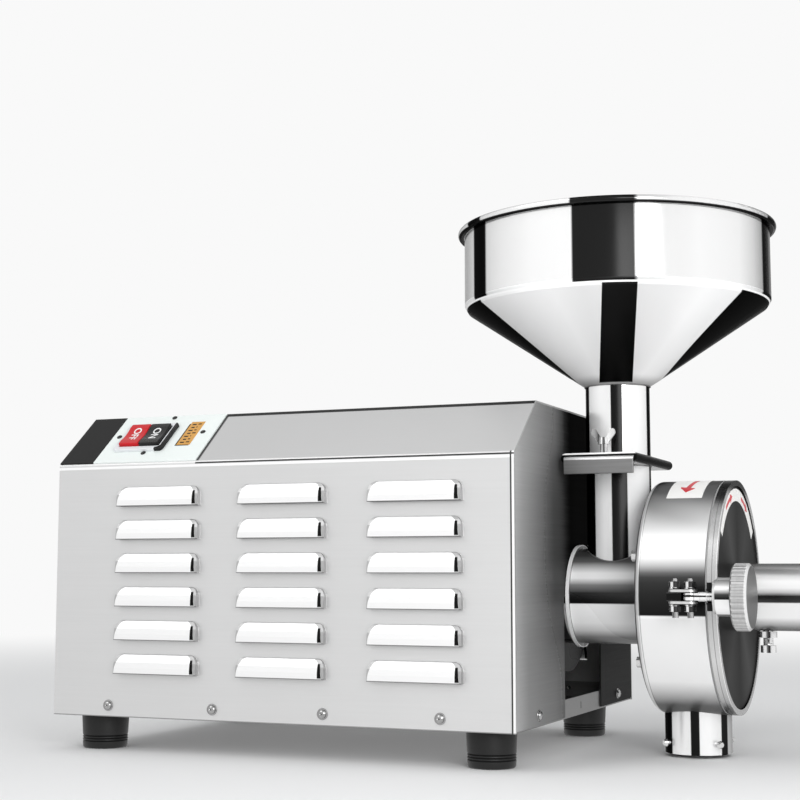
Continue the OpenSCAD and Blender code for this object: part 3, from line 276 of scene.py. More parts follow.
def finish(name, build, **fixed):
    """A Principled material. build gives the sockets that vary, fixed the ones that don't."""
    material = bpy.data.materials.new(name)
    material.use_nodes = True
    m = Maker(material.node_tree)
    names = {"metallic": "Metallic", "coat": "Coat Weight", "coat_rough": "Coat Roughness",
             "specular": "Specular IOR Level", "tint": "Specular Tint"}
    sockets = {names[key]: value for key, value in fixed.items()}
    sockets.update(build(m))
    m.add("ShaderNodeOutputMaterial", None,
          {"Surface": m.add("ShaderNodeBsdfPrincipled", None, sockets)})
    return material


# ---------------------------------------------------------------- steel

# Painted reflections round each polished piece, dark bands and bright highlights laid round from the side that
# faces the eye: (degrees off the facing line, display grey), for half a turn
WALL = [(-90, 236), (-64.8, 240), (-64.3, 24), (-54.5, 24), (-54, 222), (-45, 236), (-31, 248),
        (-15.2, 250), (-14.9, 24), (-5, 26), (2, 24), (6.9, 20), (7.3, 212), (13.7, 216), (20, 236),
        (30, 246), (49, 244), (58, 226), (65.7, 196), (66.5, 26), (90, 22)]
NECK_TONES = [(-90, 18), (-63, 18), (-61, 240), (-33, 252), (-13.2, 240), (-12, 20), (7.4, 20), (8.4, 246),
              (31, 252), (60.5, 240), (63, 20), (90, 20)]
FEED_NECK_TONES = [(-90, 16), (-47.4, 20), (-45.8, 238), (-28, 250), (-13.5, 240), (-12.5, 20), (14.5, 20),
                   (15.5, 246), (39, 252), (67.6, 240), (70.6, 20), (90, 20)]
SPOUT_TONES = [(-90, 14), (-51.9, 14), (-49.6, 240), (-29, 252), (-14.1, 240), (-13, 14), (1, 14), (2, 242),
               (19.4, 252), (40.8, 236), (42, 20), (56.2, 28), (59, 190), (90, 170)]
FEED_TONES = [(-90, 190), (-84, 160), (-78, 90), (-57, 150), (-43.6, 232), (-33, 254), (-23, 252),
              (-8.8, 250), (-8, 20), (-5.5, 24), (4.5, 52), (14, 132), (22.7, 252), (29.2, 252),
              (36.3, 206), (45.8, 100), (57.4, 70), (90, 58)]
DRUM_TONES = [(-90, 120), (-70, 96), (-63, 110), (-53, 190), (-43, 240), (-28, 238), (-9.9, 234),
              (-8.3, 250), (-7.9, 18), (-3, 28), (2, 38), (7.2, 50), (10, 64), (12, 104), (15.6, 190),
              (19.6, 238), (26.5, 243), (31, 236), (35, 222), (39.5, 206), (44, 192), (48.5, 174),
              (54, 148), (62.3, 112), (72, 68), (80, 36), (90, 24)]
RIM_TONES = [(-90, 140), (-60, 180), (-30, 214), (0, 180), (20, 196), (40, 190), (56, 116), (66, 60),
             (74, 32), (90, 18)]
TUBE_TONES = [(-90, 90), (-80, 110), (-61, 150), (-47.5, 202), (-36, 248), (-9.3, 238), (-7.8, 58),
              (3.1, 40), (4.7, 118), (8.9, 190), (16.5, 238), (29.2, 242), (48.5, 204), (63.6, 130),
              (90, 54)]
HUB_TONES = [(-90, 190), (-74, 200), (-65, 120), (-59, 240), (-33, 252), (-7.9, 242), (-6.3, 36), (-2, 40),
             (8, 70), (18.5, 190), (28, 244), (42, 198), (57.6, 150), (63.4, 248), (76, 240), (90, 200)]
SMALL_TONES = [(-90, 40), (-70, 60), (-52, 214), (-20, 250), (-4, 244), (-2, 60), (6, 26), (14, 30),
               (17, 236), (36, 252), (58, 210), (72, 60), (90, 30)]
WING_TONES = [(-90, 40), (-80, 190), (-60, 240), (-20, 250), (-10, 120), (4, 40), (12, 40), (20, 236),
              (60, 246), (80, 190), (90, 40)]
CONE_TONES = [(-90, 200), (-58, 236), (-40, 246), (-24, 252), (-12, 238), (8, 228), (20, 238), (34, 250),
              (52, 244), (90, 214)]
# Painted shade on the drum end's sheet, light at its front edge and dark behind the feed tube: (share of the
# depth from its front edge, display grey)
END_TONES = [(0.0, 206), (0.025, 192), (0.07, 174), (0.115, 161), (0.16, 148), (0.205, 134), (0.25, 114),
             (0.3, 92), (0.345, 86), (0.4, 56), (0.44, 26), (0.6, 18), (0.75, 26), (1.0, 44)]

def facing(centre):
    """The direction from an upright axis to the eye."""
    return math.atan2(EYE.y - centre.y, EYE.x - centre.x)


def round_z(m, centre):
    """Half turns round an upright axis, 0.5 on the side that faces the eye."""
    x, y, _ = m.xyz()
    angle = (y - centre.y).math("ARCTAN2", x - centre.x)
    return ((angle - facing(centre)) / math.pi + 0.5).math("FRACT")


def round_x(m, height=AXIS_Z, depth=0.0):
    """Half turns round an axis along X, 0.5 at the front and rising upwards."""
    _, y, z = m.xyz()
    angle = (z - height).math("ARCTAN2", depth - y)
    return (angle / math.pi + 0.5).math("FRACT")


def shine(m, tone, metallic):
    """Metallic that rises where the painted tone is dark, so that painted dark bands keep no pale sheen at
    their edges.
    """
    full = 0.94
    return full - m.step(tone, 0.004, 0.08) * (full - metallic)


def wiped(m, tone, rough, metallic):
    """Faint wipe marks over painted reflection tones, and the roughness and metallic that go with it."""
    smear = m.noise(12.0, 1.0, (1.0, 1.0, 0.4))
    return skin(m.mix(smear * 0.05, tone, 150), m.noise(9.0, 1.0) * 0.06 + smear * 0.05 + rough,
                metallic=shine(m, tone, metallic))


def polished(name, turn, levels, rough=0.13, metallic=0.72, extra=None):
    """Polished sheet whose tone is painted reflections following the turn round its axis; extra may change the
    tone.
    """
    def build(m):
        tone = m.around(turn(m), levels)
        return wiped(m, extra(m, tone) if extra else tone, rough, metallic)
    return finish(name, build, tint=STEEL_EDGE, specular=0.12)


def rim_tone(m, tone):
    """The rolled rim: bright above, with a painted shade line below it."""
    x, y, z = m.xyz()
    bead = m.step(span(x - NECK.x, y - NECK.y), BOWL_R + 0.0002, BOWL_R + 0.0006)
    return m.mix(bead * m.fall(z, RIM_Z - 0.0049, RIM_Z - 0.0043), tone, 40)


def cone_finish():
    """The cone's polish with painted reflections: one dark band that tapers down the front and dark wedges on
    both flanks.
    """
    def build(m):
        x, y, z = m.xyz()
        dx, dy = x - NECK.x, y - NECK.y
        cos, sin = math.cos(facing(NECK)), math.sin(facing(NECK))
        side, out = dy * cos - dx * sin, dx * cos + dy * sin
        share = (span(dx, dy) - NECK_R) / (BOWL_R - NECK_R)
        band = m.within(side * out.math("SIGN") - (share * 0.0046 + 0.0004), -0.0160, 0.0125, 0.00025)
        band = band * m.step(share, 0.012, 0.03)
        turn = (side / out).math("ARCTANGENT") * (180.0 / math.pi)
        left = turn + 55.5 + 5.4 / ((share | 0.0) + 0.13)
        right = turn - 45.4 - 5.9 / ((share | 0.0) + 0.03)
        wedge = m.fall(left, -0.4, 0.4) | m.step(right, -0.4, 0.4)
        # Painted reflections round the cone, greyer towards the neck, with the painted dark band and wedges, a
        # painted highlight along the top bend and the wall's painted reflections above it
        tone = m.lay(m.around(turn / 180.0 + 0.5, CONE_TONES),
                     (m.fall(share, 0.0, 0.12), 168),
                     (band | wedge, 20),
                     (m.step(z, BOWL_Z - 0.0004, BOWL_Z), 252),
                     (m.step(z, BOWL_Z + 0.0010, BOWL_Z + 0.0014), m.around(round_z(m, NECK), WALL)))
        return wiped(m, tone, 0.24, 0.1)
    return finish("cone_polish", build, tint=(0.02, 0.02, 0.02, 1.0), specular=0.12)


def housing_tone(m, tone):
    """Painted shade on the feed housing's inner flange and on its collar's face, and a painted highlight along
    the collar's edge.
    """
    x, y, z = m.xyz()
    reach = span(y, z - AXIS_Z)
    outside = m.step(x, FACE, FACE + 0.0003)
    return m.lay(tone, (m.step(reach, FEED_R + 0.0002, FEED_R + 0.0005) * outside * 0.7, 96),
                 (m.step(reach, COLLAR_R - 0.0009, COLLAR_R - 0.0006) * outside, 246),
                 (m.fall(x, FACE - 0.003, FACE - 0.002), 52))


def drum_tone(m, tone):
    """A painted highlight on the drum's rounded back edge, a fine painted dark line beside it and a painted
    shade line along the very edge.
    """
    x, _, _ = m.xyz()
    return m.lay(tone, (m.fall(x, DRUM_X + 0.0040, DRUM_X + 0.0052) * 0.85, 240),
                 (m.within(x, DRUM_X + 0.0050, DRUM_X + 0.0056) * 0.55, 60),
                 (m.fall(x, DRUM_X + 0.0012, DRUM_X + 0.0020), 70))


def brushed(name, level, scale=900.0, stretch=ALONG_X, rough=0.32, depth=0.00002, tone_at=None, metallic=0.9):
    """Satin-brushed steel: fine streaks in tone and relief, and soft blotches."""
    def build(m):
        streak, blotch = m.noise(scale, 3.0, stretch), m.noise(7.0, 3.0)
        tone = m.ramp(streak * 0.6 + blotch * 0.4, [(0.3, level * 0.94), (0.5, level), (0.7, level * 1.04)])
        tone = tone_at(m, tone) if tone_at else tone
        return skin(tone, streak * 0.16 + blotch * 0.08 + rough - 0.1, m.bump(streak, depth, 0.35),
                    shine(m, tone, metallic))
    return finish(name, build, tint=STEEL_EDGE, specular=0.15)


def lip_tone(m, tone):
    """A painted highlight along the bend of the gate's lip, and a painted shadow along the edges behind it."""
    _, y, z = m.xyz()
    behind, ahead = m.step(y, LIP_BEND - 0.0005, LIP_BEND), m.fall(y, LIP_BEND, LIP_BEND + 0.0005)
    return m.lay(tone, (m.fall(z, GATE_TOP - 0.0007, GATE_TOP - 0.0004) * behind, 26),
                 (m.step(z, GATE_TOP - 0.0034, GATE_TOP - 0.0026) * ahead, 250))


def sleeve_tone(m, tone):
    """The gate sleeve: painted dark reflections on its rounded flanks, painted shade on its front face and a
    painted highlight along its front edge.
    """
    x, y, z = m.xyz()
    front = m.fall(y, SLEEVE_FRONT - 0.0004, SLEEVE_FRONT)
    return m.lay(tone, (m.step(abs(x - NECK.x), NECK_R + 0.0008, NECK_R + 0.0014), 24), (front, 22),
                 (front * m.step(z, SLEEVE_TOP - 0.0016, SLEEVE_TOP - 0.0012), 250))


def latch_tone(m, tone):
    """Dark joints between plates, nuts and eye, painted highlights and shade on the nuts' flats and rings on
    the studs.
    """
    x, _, z = m.xyz()
    dz = abs(z - LATCH.z)
    flats = m.ramp(((x - LATCH.x) / BOLT_STEP + 0.5).math("FRACT"), [
        (0.0, 40), (0.16, 60), (0.2, 236), (0.38, 250), (0.41, 120), (0.62, 236), (0.66, 250), (0.72, 90),
        (0.84, 40), (1.0, 40)])
    tone = m.lay(tone, (m.step(dz, 0.0059, 0.0061), flats), (m.fall(dz, 0.0011, 0.0014), 26))
    for at, wide in ((0.0031, 0.0005), (0.0061, 0.0005), (0.0116, 0.0004)):
        tone = m.mix(m.within(dz, at - wide, at + wide, 0.0001), tone, 16)
    rings = ((dz / 0.0008).math("FRACT") > 0.5) * m.step(dz, 0.0118, 0.0119)
    return m.mix(rings * 0.75, tone, 30)


def lug_tone(m, _):
    """The hinge lugs: a dark joint with painted highlights on its lips, and painted highlights on the flats
    above and below.
    """
    x, _, z = m.xyz()
    dz = abs(z - LATCH.z)
    flats = m.ramp(((x - LATCH.x) / 0.008 + 0.5).math("FRACT"), [
        (0.0, 30), (0.2, 30), (0.3, 240), (0.6, 250), (0.7, 40), (1.0, 30)])
    return m.lay(30, (m.step(dz, 0.0058, 0.0061), flats), (m.within(dz, 0.0030, 0.0040), 240))


def clamp_tone(m, tone):
    """The clamp knob: painted reflections round a polished hub behind a satin knurled disc, with a painted
    highlight round the disc's face.
    """
    x, y, z = m.xyz()
    reach = span(y - LATCH.y, z - LATCH.z)
    face = m.step(x, CLAMP_FRONT - 0.0022, CLAMP_FRONT - 0.0016)
    return m.lay(tone, (m.fall(x, CLAMP_STEP - 0.0006, CLAMP_STEP - 0.0002),
                        m.around(round_x(m, LATCH.z, LATCH.y), HUB_TONES)),
                 (face * m.step(reach, 0.0238, 0.0242), 240),
                 (face * m.fall(reach, 0.0236, 0.0240), 168))


def facet_tone(m, _):
    """The latch's nuts: painted light and shade on six flats, each in its own tone, with painted dark lines at
    the edges between them.
    """
    x, y, _ = m.xyz()
    near = ((x - LATCH.x) / BOLT_STEP + 0.5).math("FLOOR") * BOLT_STEP + LATCH.x
    turn = (y - LATCH.y).math("ARCTAN2", x - near) / math.tau + 1.0
    tone = m.ramp((turn + 1.0 / 12.0).math("FRACT"), [
        (0.0, 90), (0.33, 60), (0.5, 236), (0.62, 250), (0.66, 120), (0.8, 246), (0.84, 60), (1.0, 90)])
    return m.mix(m.step(abs((turn * 6.0 + 0.5).math("FRACT") - 0.5), 0.42, 0.46) * 0.8, tone, 26)


def sheet_finish(louvre_highlight):
    """The cabinet's sheet: satin grey, near-white louvres that are a painted highlight, painted highlight and
    shade lines at the bends.
    """
    def build(m):
        x, y, z = m.xyz()
        out = abs(y)
        along = (((x - LOUVRE_X) / LOUVRE_STEP_X + 0.5).math("FRACT") - 0.5) * LOUVRE_STEP_X
        above = ((z - LOUVRE_Z) / LOUVRE_STEP_Z).math("FRACT") * LOUVRE_STEP_Z
        streak, blotch = m.noise(700.0, 3.0, LONG_X), m.noise(4.0, 3.0)
        over = m.step(z, FOLD_Z + 0.0006, FOLD_Z + 0.0012)
        slope = over * m.fall(y, FRONT + SLOPE_RUN, FRONT + SLOPE_RUN + 0.0004)
        # The louvres: painted shade on the proud sheet outside their outline, a grey painted shade line round
        # it, a white painted highlight on the hood with a bowed end, a dark painted slit for the shade in its
        # open end, and painted shade along the lower edge
        proud = m.step(out, -FRONT + 0.0003, -FRONT + 0.0012)
        bow = 1.0 - (1.0 - (above * above).math("MINIMUM", 0.000288) / 0.000289).math("SQRT")
        reach = abs(along) + bow * 0.0105 + m.step(along, 0.0, 0.002) * 0.0014
        slit = m.step(along + above * 0.02, 0.0349, 0.0351) * m.fall(along + above * 0.13, 0.0386, 0.0389)
        # Painted highlights and painted shade lines at the bends, at the cabinet's end and beside the plates'
        # edge
        white = m.within(z, FOLD_Z - 0.0044, FOLD_Z - 0.0022, 0.0003)
        edge = m.within(x, FACE - 0.0022, FACE - 0.0006, 0.0003)
        fold = m.within(z, FOLD_Z - 0.0018, FOLD_Z - 0.0004)
        ridge = m.step(z, ROOF_Z - 0.0032, ROOF_Z - 0.0026) * m.step(out, 0.1165, 0.1170)
        beside = m.within(x, PLATE_END + 0.0008, PLATE_END + 0.0020) * slope
        bare = m.step(x, PLATE_END, PLATE_END + 0.0003) * m.fall(y, -0.01, 0.0)
        rim = m.within(x, FACE - 0.0037, FACE - 0.0024, 0.0002) * (1.0 - slope)
        # Over the brushed grey and the slightly darker slope: the louvres' painted shade, highlight, slit and
        # lower edge, white painted highlights below the fold and at the end, painted shade beside the plate,
        # dark painted shade lines at the fold, ridge, plate and end, a greyer end edge and painted shade along
        # the bottom
        tone = m.lay(
            m.ramp(streak * 0.4 + blotch * 0.6, [(0.3, 209), (0.5, 212), (0.72, 215)]),
            (over, m.ramp(blotch, [(0.3, 204), (0.7, 209)])),
            (proud * 0.85, 164),
            (proud * m.fall(reach, 0.0401, 0.0404), louvre_highlight),
            (proud * m.within(reach, 0.0400, 0.0405) * 0.35, 120),
            (proud * slit * m.within(above, 0.0011, 0.0128, 0.0005), 20),
            (m.step(out, -FRONT + 0.0044, -FRONT + 0.0050) * m.fall(above, 0.0005, 0.0008), 120),
            ((white | edge) * (1.0 - over), 250),
            (m.within(x, PLATE_END, PLATE_END + 0.0030) * slope, 128),
            ((fold | ridge | beside) * bare | rim, 60),
            (m.step(x, FACE - 0.0004, FACE - 0.0002), 190),
            (m.fall(z, 0.0306, 0.031) * 0.7, 90))
        return skin(tone, streak * 0.12 + blotch * 0.1 + 0.3 - proud * 0.1, m.bump(streak, 0.00001, 0.25))
    return finish("satin_sheet", build, metallic=0.7, tint=STEEL_EDGE)


def end_finish():
    """The drum end's sheet with painted shade, light at the front edge and deep grey behind the feed tube."""
    def build(m):
        _, y, z = m.xyz()
        streak = m.noise(700.0, 3.0, LONG_Y)
        deep = (y - FRONT) / (-2.0 * FRONT) + streak * 0.02
        foot = m.ramp(deep, [(0.0, 196), (0.1, 158), (0.3, 140), (0.46, 100), (0.65, 62), (1.0, 60)])
        # Painted shade that deepens from the front edge, a painted lighter patch high up at the front and a
        # painted shade ramp over the lower part
        tone = m.lay(m.ramp(deep, END_TONES),
                     (m.step(z, 0.2, 0.28) * m.fall(deep, 0.3, 0.4) * 0.35, 170),
                     (m.fall(z, 0.05, 0.17), foot))
        return skin(tone, streak * 0.14 + 0.32, m.bump(streak, 0.00002, 0.3), shine(m, tone, 0.4))
    return finish("end_sheet", build, tint=(0.05, 0.05, 0.05, 1.0), specular=0.05)


def vent_finish():
    """The far end's sheet with near-white louvres that are a painted highlight."""
    def build(m):
        x, _, _ = m.xyz()
        streak = m.noise(700.0, 3.0, LONG_Y)
        proud = m.fall(x, REAR_END - 0.0012, REAR_END - 0.0003)
        tone = m.mix(proud, m.ramp(streak, [(0.3, 214), (0.7, 228)]), 246)
        return skin(tone, streak * 0.14 + 0.28, m.bump(streak, 0.00002, 0.3))
    return finish("vent_sheet", build, metallic=0.7)


def cover_finish():
    """The cover: deep grey face with turning marks and a painted sheen round the turn, and a light rim whose
    tones are painted reflections, with dark painted lines and a painted front edge.
    """
    def build(m):
        x, y, z = m.xyz()
        reach, turn = span(y, z - AXIS_Z), round_x(m)
        rings = m.rings(reach, 2600.0)
        # The face's lighter and darker sectors round the turn are a painted sheen
        face = m.ramp(turn, [(0.0, 56), (0.2, 84), (0.34, 62), (0.5, 66), (0.66, 56), (0.82, 98), (1.0, 56)])
        lip = m.step(reach, DRUM_R - 0.0052, DRUM_R - 0.0046)
        edge = m.mix(m.step(z, AXIS_Z + 0.082, AXIS_Z + 0.093), 250, 34)
        # Painted reflections on the rim, dark painted lines at the lip and on the rim, and the lip's front
        # edge painted bright with a dark top
        tone = m.lay(m.mix(rings * 0.3, face, 90), (lip, m.around(turn, RIM_TONES)),
                     (m.within(reach, DRUM_R - 0.0052, DRUM_R - 0.0044, 0.0001) * 0.7, 34),
                     (m.within(x, COVER_FRONT - 0.0042, COVER_FRONT - 0.0036, 0.0002) * lip * 0.5, 70),
                     (m.step(x, COVER_FRONT - 0.0006, COVER_FRONT - 0.0003) * lip, edge))
        return skin(tone, 0.34 - lip * 0.16 + rings * 0.1, m.bump(rings, 0.00002, 0.4))
    return finish("cover_face", build, metallic=0.9, tint=STEEL_EDGE)


def turned(name, level, rough=0.24, tint=EVEN):
    """Lathe-turned metal with fine marks along its axis."""
    def build(m):
        rings = m.rings(m.xyz()[0], 2400.0)
        tone = m.mix(rings * 0.5, grey(level, tint), grey(level * 0.8, tint))
        return skin(tone, rings * 0.12 + rough, m.bump(rings, 0.00003, 0.4))
    return finish(name, build, metallic=1.0)


def cast(name, level, rough=0.55, size=500.0, depth=0.00012, tint=EVEN, metallic=0.8):
    """Cast or ground iron with a fine pitted skin."""
    def build(m):
        pits = m.noise(size, 5.0, rough=0.6)
        tone = m.mix(m.noise(30.0, 4.0), grey(level * 0.82, tint), grey(level * 1.12, tint))
        tone = m.mix(m.step(pits, 0.62, 0.75) * 0.5, tone, grey(level * 0.5, tint))
        return skin(tone, pits * 0.2 + rough - 0.1, m.bump(pits, depth, 0.6))
    return finish(name, build, metallic=metallic)


def moulded(name, colour, rough=0.35, depth=0.00003, size=1400.0, coat=0.0, specular=0.4, tone_at=None):
    """Moulded plastic or rubber with a fine skin and slight wear."""
    def build(m):
        worn = m.step(m.noise(22.0, 5.0), 0.52, 0.78)
        relief = m.noise(size, 3.0)
        base = coloured(colour)
        lighter = tuple(min(1.0, c * 1.4 + 0.004) for c in base[:3]) + (1.0,)
        tone = m.mix(worn * 0.3, base, lighter)
        tone = tone_at(m, tone) if tone_at else tone
        return skin(tone, relief * 0.12 + worn * 0.08 + rough, m.bump(relief, depth, 0.5))
    return finish(name, build, coat=coat, coat_rough=0.12, specular=specular)


def film_of(name, colour, rough=0.35, coat=0.0, specular=0.4, tone_at=None, depth=0.00001, size=900.0):
    """A smooth thin plastic, paint or ink."""
    return moulded(name, colour, rough, depth, size, coat, specular, tone_at)


def bezel_tone(m, tone):
    """A pale frame with a painted shade line along its right side and dark gaps beside the keys."""
    x, y, z = m.xyz()
    up = (y - FRONT) * math.cos(SLOPE_TURN) + (z - FOLD_Z) * math.sin(SLOPE_TURN)
    side, low = x - SWITCH_X, SWITCH_UP - up
    corner = span((side - (BEZEL_W - BEZEL_BEND)) | 0.0, (low - (BEZEL_L - BEZEL_BEND)) | 0.0)
    line = m.step(corner, BEZEL_BEND - 0.0031, BEZEL_BEND - 0.0028)
    line = line * m.step(side, BEZEL_W - BEZEL_BEND - 0.001, BEZEL_W - BEZEL_BEND)
    gap = m.fall(abs(side), BEZEL_W - KEY_WELL, BEZEL_W - KEY_WELL + 0.0003) * m.fall(
        abs(low), BEZEL_L - KEY_WELL, BEZEL_L - KEY_WELL + 0.0003)
    return m.mix(line | gap, tone, 24)


def laminated():
    """Varnished stator and rotor sheets: thin stripes across the axis."""
    def build(m):
        stripe = (m.xyz()[0] * 2000.0).math("FRACT")
        tone = m.ramp(stripe, [(0.0, 70), (0.2, 120), (0.8, 126), (1.0, 72)])
        return skin(tone, stripe * 0.1 + 0.4, m.bump(stripe, 0.0001, 0.4))
    return finish("laminated_steel", build, metallic=0.9)


def wound():
    """Enamelled copper: strands laid side by side round the ring."""
    def build(m):
        x, y, z = m.xyz()
        strand = ((span(y, z - AXIS_Z) + x * 0.6) * 1100.0).math("SINE") * 0.5 + 0.5
        tone = m.mix(strand, (0.18, 0.05, 0.015, 1.0), (0.55, 0.2, 0.06, 1.0))
        return skin(tone, strand * 0.1 + 0.28, m.bump(strand, 0.0004, 0.8))
    return finish("copper_winding", build, metallic=0.7, coat=0.4)


def make_finishes(settings):
    """All finishes and the solids that wear them."""
    def upright(node):
        return lambda m: round_z(m, middle(node))

    def latch_turn(m):
        return round_x(m, LATCH.z, LATCH.y)

    neck_turn = upright("hopper_neck")
    return {
        sheet_finish(settings.louvre_highlight): "cover_wrap",
        vent_finish(): "left_panel",
        end_finish(): "right_panel",
        brushed("tray_sheet", 168, 500.0, ALONG_X, 0.36): "base_tray",
        polished("hopper_polish", neck_turn, WALL, 0.12, 0.75, rim_tone): "hopper",
        cone_finish(): "hopper_cone",
        polished("neck_polish", neck_turn, NECK_TONES, 0.16, 0.4): "hopper_neck",
        polished("feed_neck_polish", neck_turn, FEED_NECK_TONES, 0.2, 0.0): "feed_neck",
        polished("spout_polish", upright("discharge_spout"), SPOUT_TONES, 0.16, 0.45): "discharge_spout",
        polished("feed_polish", round_x, FEED_TONES, 0.22, 0.08, housing_tone): "feed_housing",
        polished("drum_polish", round_x, DRUM_TONES, 0.24, 0.5, drum_tone): "grinding_chamber",
        polished("tube_polish", round_x, TUBE_TONES, 0.18, 0.6): "adjusting_sleeve",
        brushed("sleeve_satin", 226, 600.0, ALONG_Y, 0.22, tone_at=sleeve_tone, metallic=0.3): "gate_sleeve",
        brushed("gate_satin", 134, 800.0, ALONG_X, 0.34, tone_at=lip_tone): "gate_plate",
        brushed("clamp_satin", 186, 420.0, ALONG_Z, 0.3, tone_at=clamp_tone): "clamp_knob",
        brushed("knob_satin", 206, 420.0, ALONG_Z, 0.28): "clamp_washer adjusting_knob",
        brushed("lug_satin", 200, 500.0, (0.06, 1.0, 1.0), 0.26, tone_at=lug_tone): "cover_lugs chamber_lugs",
        cover_finish(): "front_cover",
        brushed("latch_steel", 214, 260.0, EVEN, 0.2, 0.00003, latch_tone): "latch_plates",
        polished("swing_polish", latch_turn, SMALL_TONES): "swing_bolt",
        brushed("plated_steel", 214, 260.0, EVEN, 0.2, 0.00003):
            "cover_screws foot_screws chamber_bolts motor_bolts spout_pins hinge_pin",
        polished("wing_polish", upright("gate_screw"), WING_TONES, 0.18): "gate_screw",
        polished("lock_polish", upright("lock_screw"), WING_TONES, 0.18): "lock_screw",
        cast("burr_iron", 104, 0.45): "fixed_burr rotating_burr",
        turned("turned_steel", 178): "motor_shaft feed_auger drive_pin burr_cap adjusting_screw "
                                     "thrust_bearing motor_bearings",
        laminated(): "stator_core rotor_core",
        wound(): "stator_windings",
        cast("motor_paint", 46, 0.42, 900.0, 0.00006, (0.97, 1.0, 1.03), 0.0):
            "motor_shell front_bell rear_bell motor_stand fan_cowl",
        turned("turned_brass", 196, 0.2, (1.0, 0.8, 0.45)): "sleeve_nut",
        moulded("black_rubber", 15, 0.42, 0.00004, 800.0, specular=0.35): "rubber_feet shaft_seal",
        moulded("grey_silicone", 150, 0.5, 0.00004, 900.0, specular=0.3): "cover_gasket",
        moulded("black_plastic", 34, 0.4): "switch_body cable_gland cooling_fan capacitor",
        film_of("black_gloss", 22, 0.22, 0.1, 0.2): "on_key",
        film_of("plate_black", 30, 0.4, specular=0.1): "dark_plate",
        film_of("bezel_pale", grey(232, (0.98, 0.99, 1.0)), 0.3, 0.0, 0.2, bezel_tone): "switch_bezel",
        film_of("plate_enamel", grey(243, (0.975, 1.0, 0.99))): "switch_plate",
        film_of("key_red", (*settings.key_colour, 1.0), 0.25, 0.1, 0.2): "off_key",
    }


# ---------------------------------------------------------------- meshes

def put(name, data):
    """A new object in the scene."""
    obj = bpy.data.objects.new(name, data)
    bpy.context.scene.collection.objects.link(obj)
    return obj


def piece(name, mesh, body, material=None, smooth=True):
    """A named piece from a mesh, riding on a body."""
    obj = put(name, mesh)
    if material:
        mesh.materials.clear()
        mesh.materials.append(material)
    if smooth:
        mesh.shade_smooth()
        mesh.set_sharp_from_angle(angle=math.radians(32))
    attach(obj, body)
    return obj


def to_mesh(name, bm):
    """Ends a bmesh as a mesh with outward faces."""
    bmesh.ops.remove_doubles(bm, verts=bm.verts, dist=1e-7)
    bmesh.ops.recalc_face_normals(bm, faces=bm.faces)
    mesh = bpy.data.meshes.new(name)
    bm.to_mesh(mesh)
    bm.free()
    return mesh


def plain_mesh(name, obj):
    """An object's mesh with its modifiers applied. The object goes."""
    graph = bpy.context.evaluated_depsgraph_get()
    mesh = bpy.data.meshes.new_from_object(obj.evaluated_get(graph))
    mesh.name = name
    obj.modifiers.clear()
    bpy.data.objects.remove(obj)
    return mesh


def circle(count):
    """Cosine and sine of equal steps round a full turn."""
    return [(math.cos(math.tau * k / count), math.sin(math.tau * k / count)) for k in range(count)]


def at(place, turn=0.0, axis="X"):
    """A frame at a place, turned about one axis."""
    return Matrix.Translation(place) @ Matrix.Rotation(turn, 4, axis)


def lathe(bm, profile, place=Matrix(), steps=48):
    """Turns an (r, z) profile round Z. Ends on the axis close by themselves."""
    rings = []
    for r, z in profile:
        corners = circle(steps) if r > 1e-9 else [(0.0, 0.0)]
        rings.append([bm.verts.new(place @ Vector((r * c, r * s, z))) for c, s in corners])
    for a, b in zip(rings, rings[1:]):
        for k in range(steps):
            ring = [a[k % len(a)], a[(k + 1) % len(a)], b[(k + 1) % len(b)], b[k % len(b)]]
            ring = list(dict.fromkeys(ring))
            if len(ring) > 2:
                bm.faces.new(ring)


def film(bm, rows):
    """Closes rows of four corners into a thin film with ends."""
    for a, b in zip(rows, rows[1:]):
        for k in range(4):
            bm.faces.new([a[k], a[(k + 1) % 4], b[(k + 1) % 4], b[k]])
    bm.faces.new(rows[0])
    bm.faces.new(rows[-1][::-1])


def on_slope(x, up, lift=0.0):
    """The frame of a place on the switch slope: X along the cabinet, Y up the slope, Z out of it."""
    return at((x, FRONT, FOLD_Z), SLOPE_TURN) @ Matrix.Translation((0.0, up, lift))


def softened(name, node, body, material, width):
    """A solid's copy with its edges rounded, shown in its place."""
    mesh = NODES[node].data.copy()
    mesh.name = name
    bm = bmesh.new()
    bm.from_mesh(mesh)
    bmesh.ops.remove_doubles(bm, verts=bm.verts, dist=2e-6)
    bmesh.ops.dissolve_limit(bm, angle_limit=math.radians(1.0), verts=bm.verts, edges=bm.edges)
    bm.to_mesh(mesh)
    bm.free()
    obj = piece(name, mesh, body, material, smooth=False)
    bevel = obj.modifiers.new("edges", "BEVEL")
    bevel.width, bevel.segments, bevel.limit_method = width, 2, "ANGLE"
    bevel.angle_limit, bevel.harden_normals = math.radians(38), False
    mesh.shade_smooth()
    mesh.set_sharp_from_angle(angle=math.radians(50))
    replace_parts(obj, node)


# ---------------------------------------------------------------- geometry nodes

def geometry_tree(name, **inputs):
    """A Geometry Nodes group with named inputs: its maker and its input node's geometry."""
    tree = bpy.data.node_groups.new(name, "GeometryNodeTree")
    tree.interface.new_socket("Geometry", in_out="INPUT", socket_type="NodeSocketGeometry")
    for label, value in inputs.items():
        kind = value if isinstance(value, str) else "Int" if isinstance(value, int) else "Float"
        socket = tree.interface.new_socket(label, in_out="INPUT", socket_type="NodeSocket" + kind)
        if kind != value:
            socket.default_value = value
    tree.interface.new_socket("Geometry", in_out="OUTPUT", socket_type="NodeSocketGeometry")
    m = Maker(tree)
    return m, m.add("NodeGroupInput")


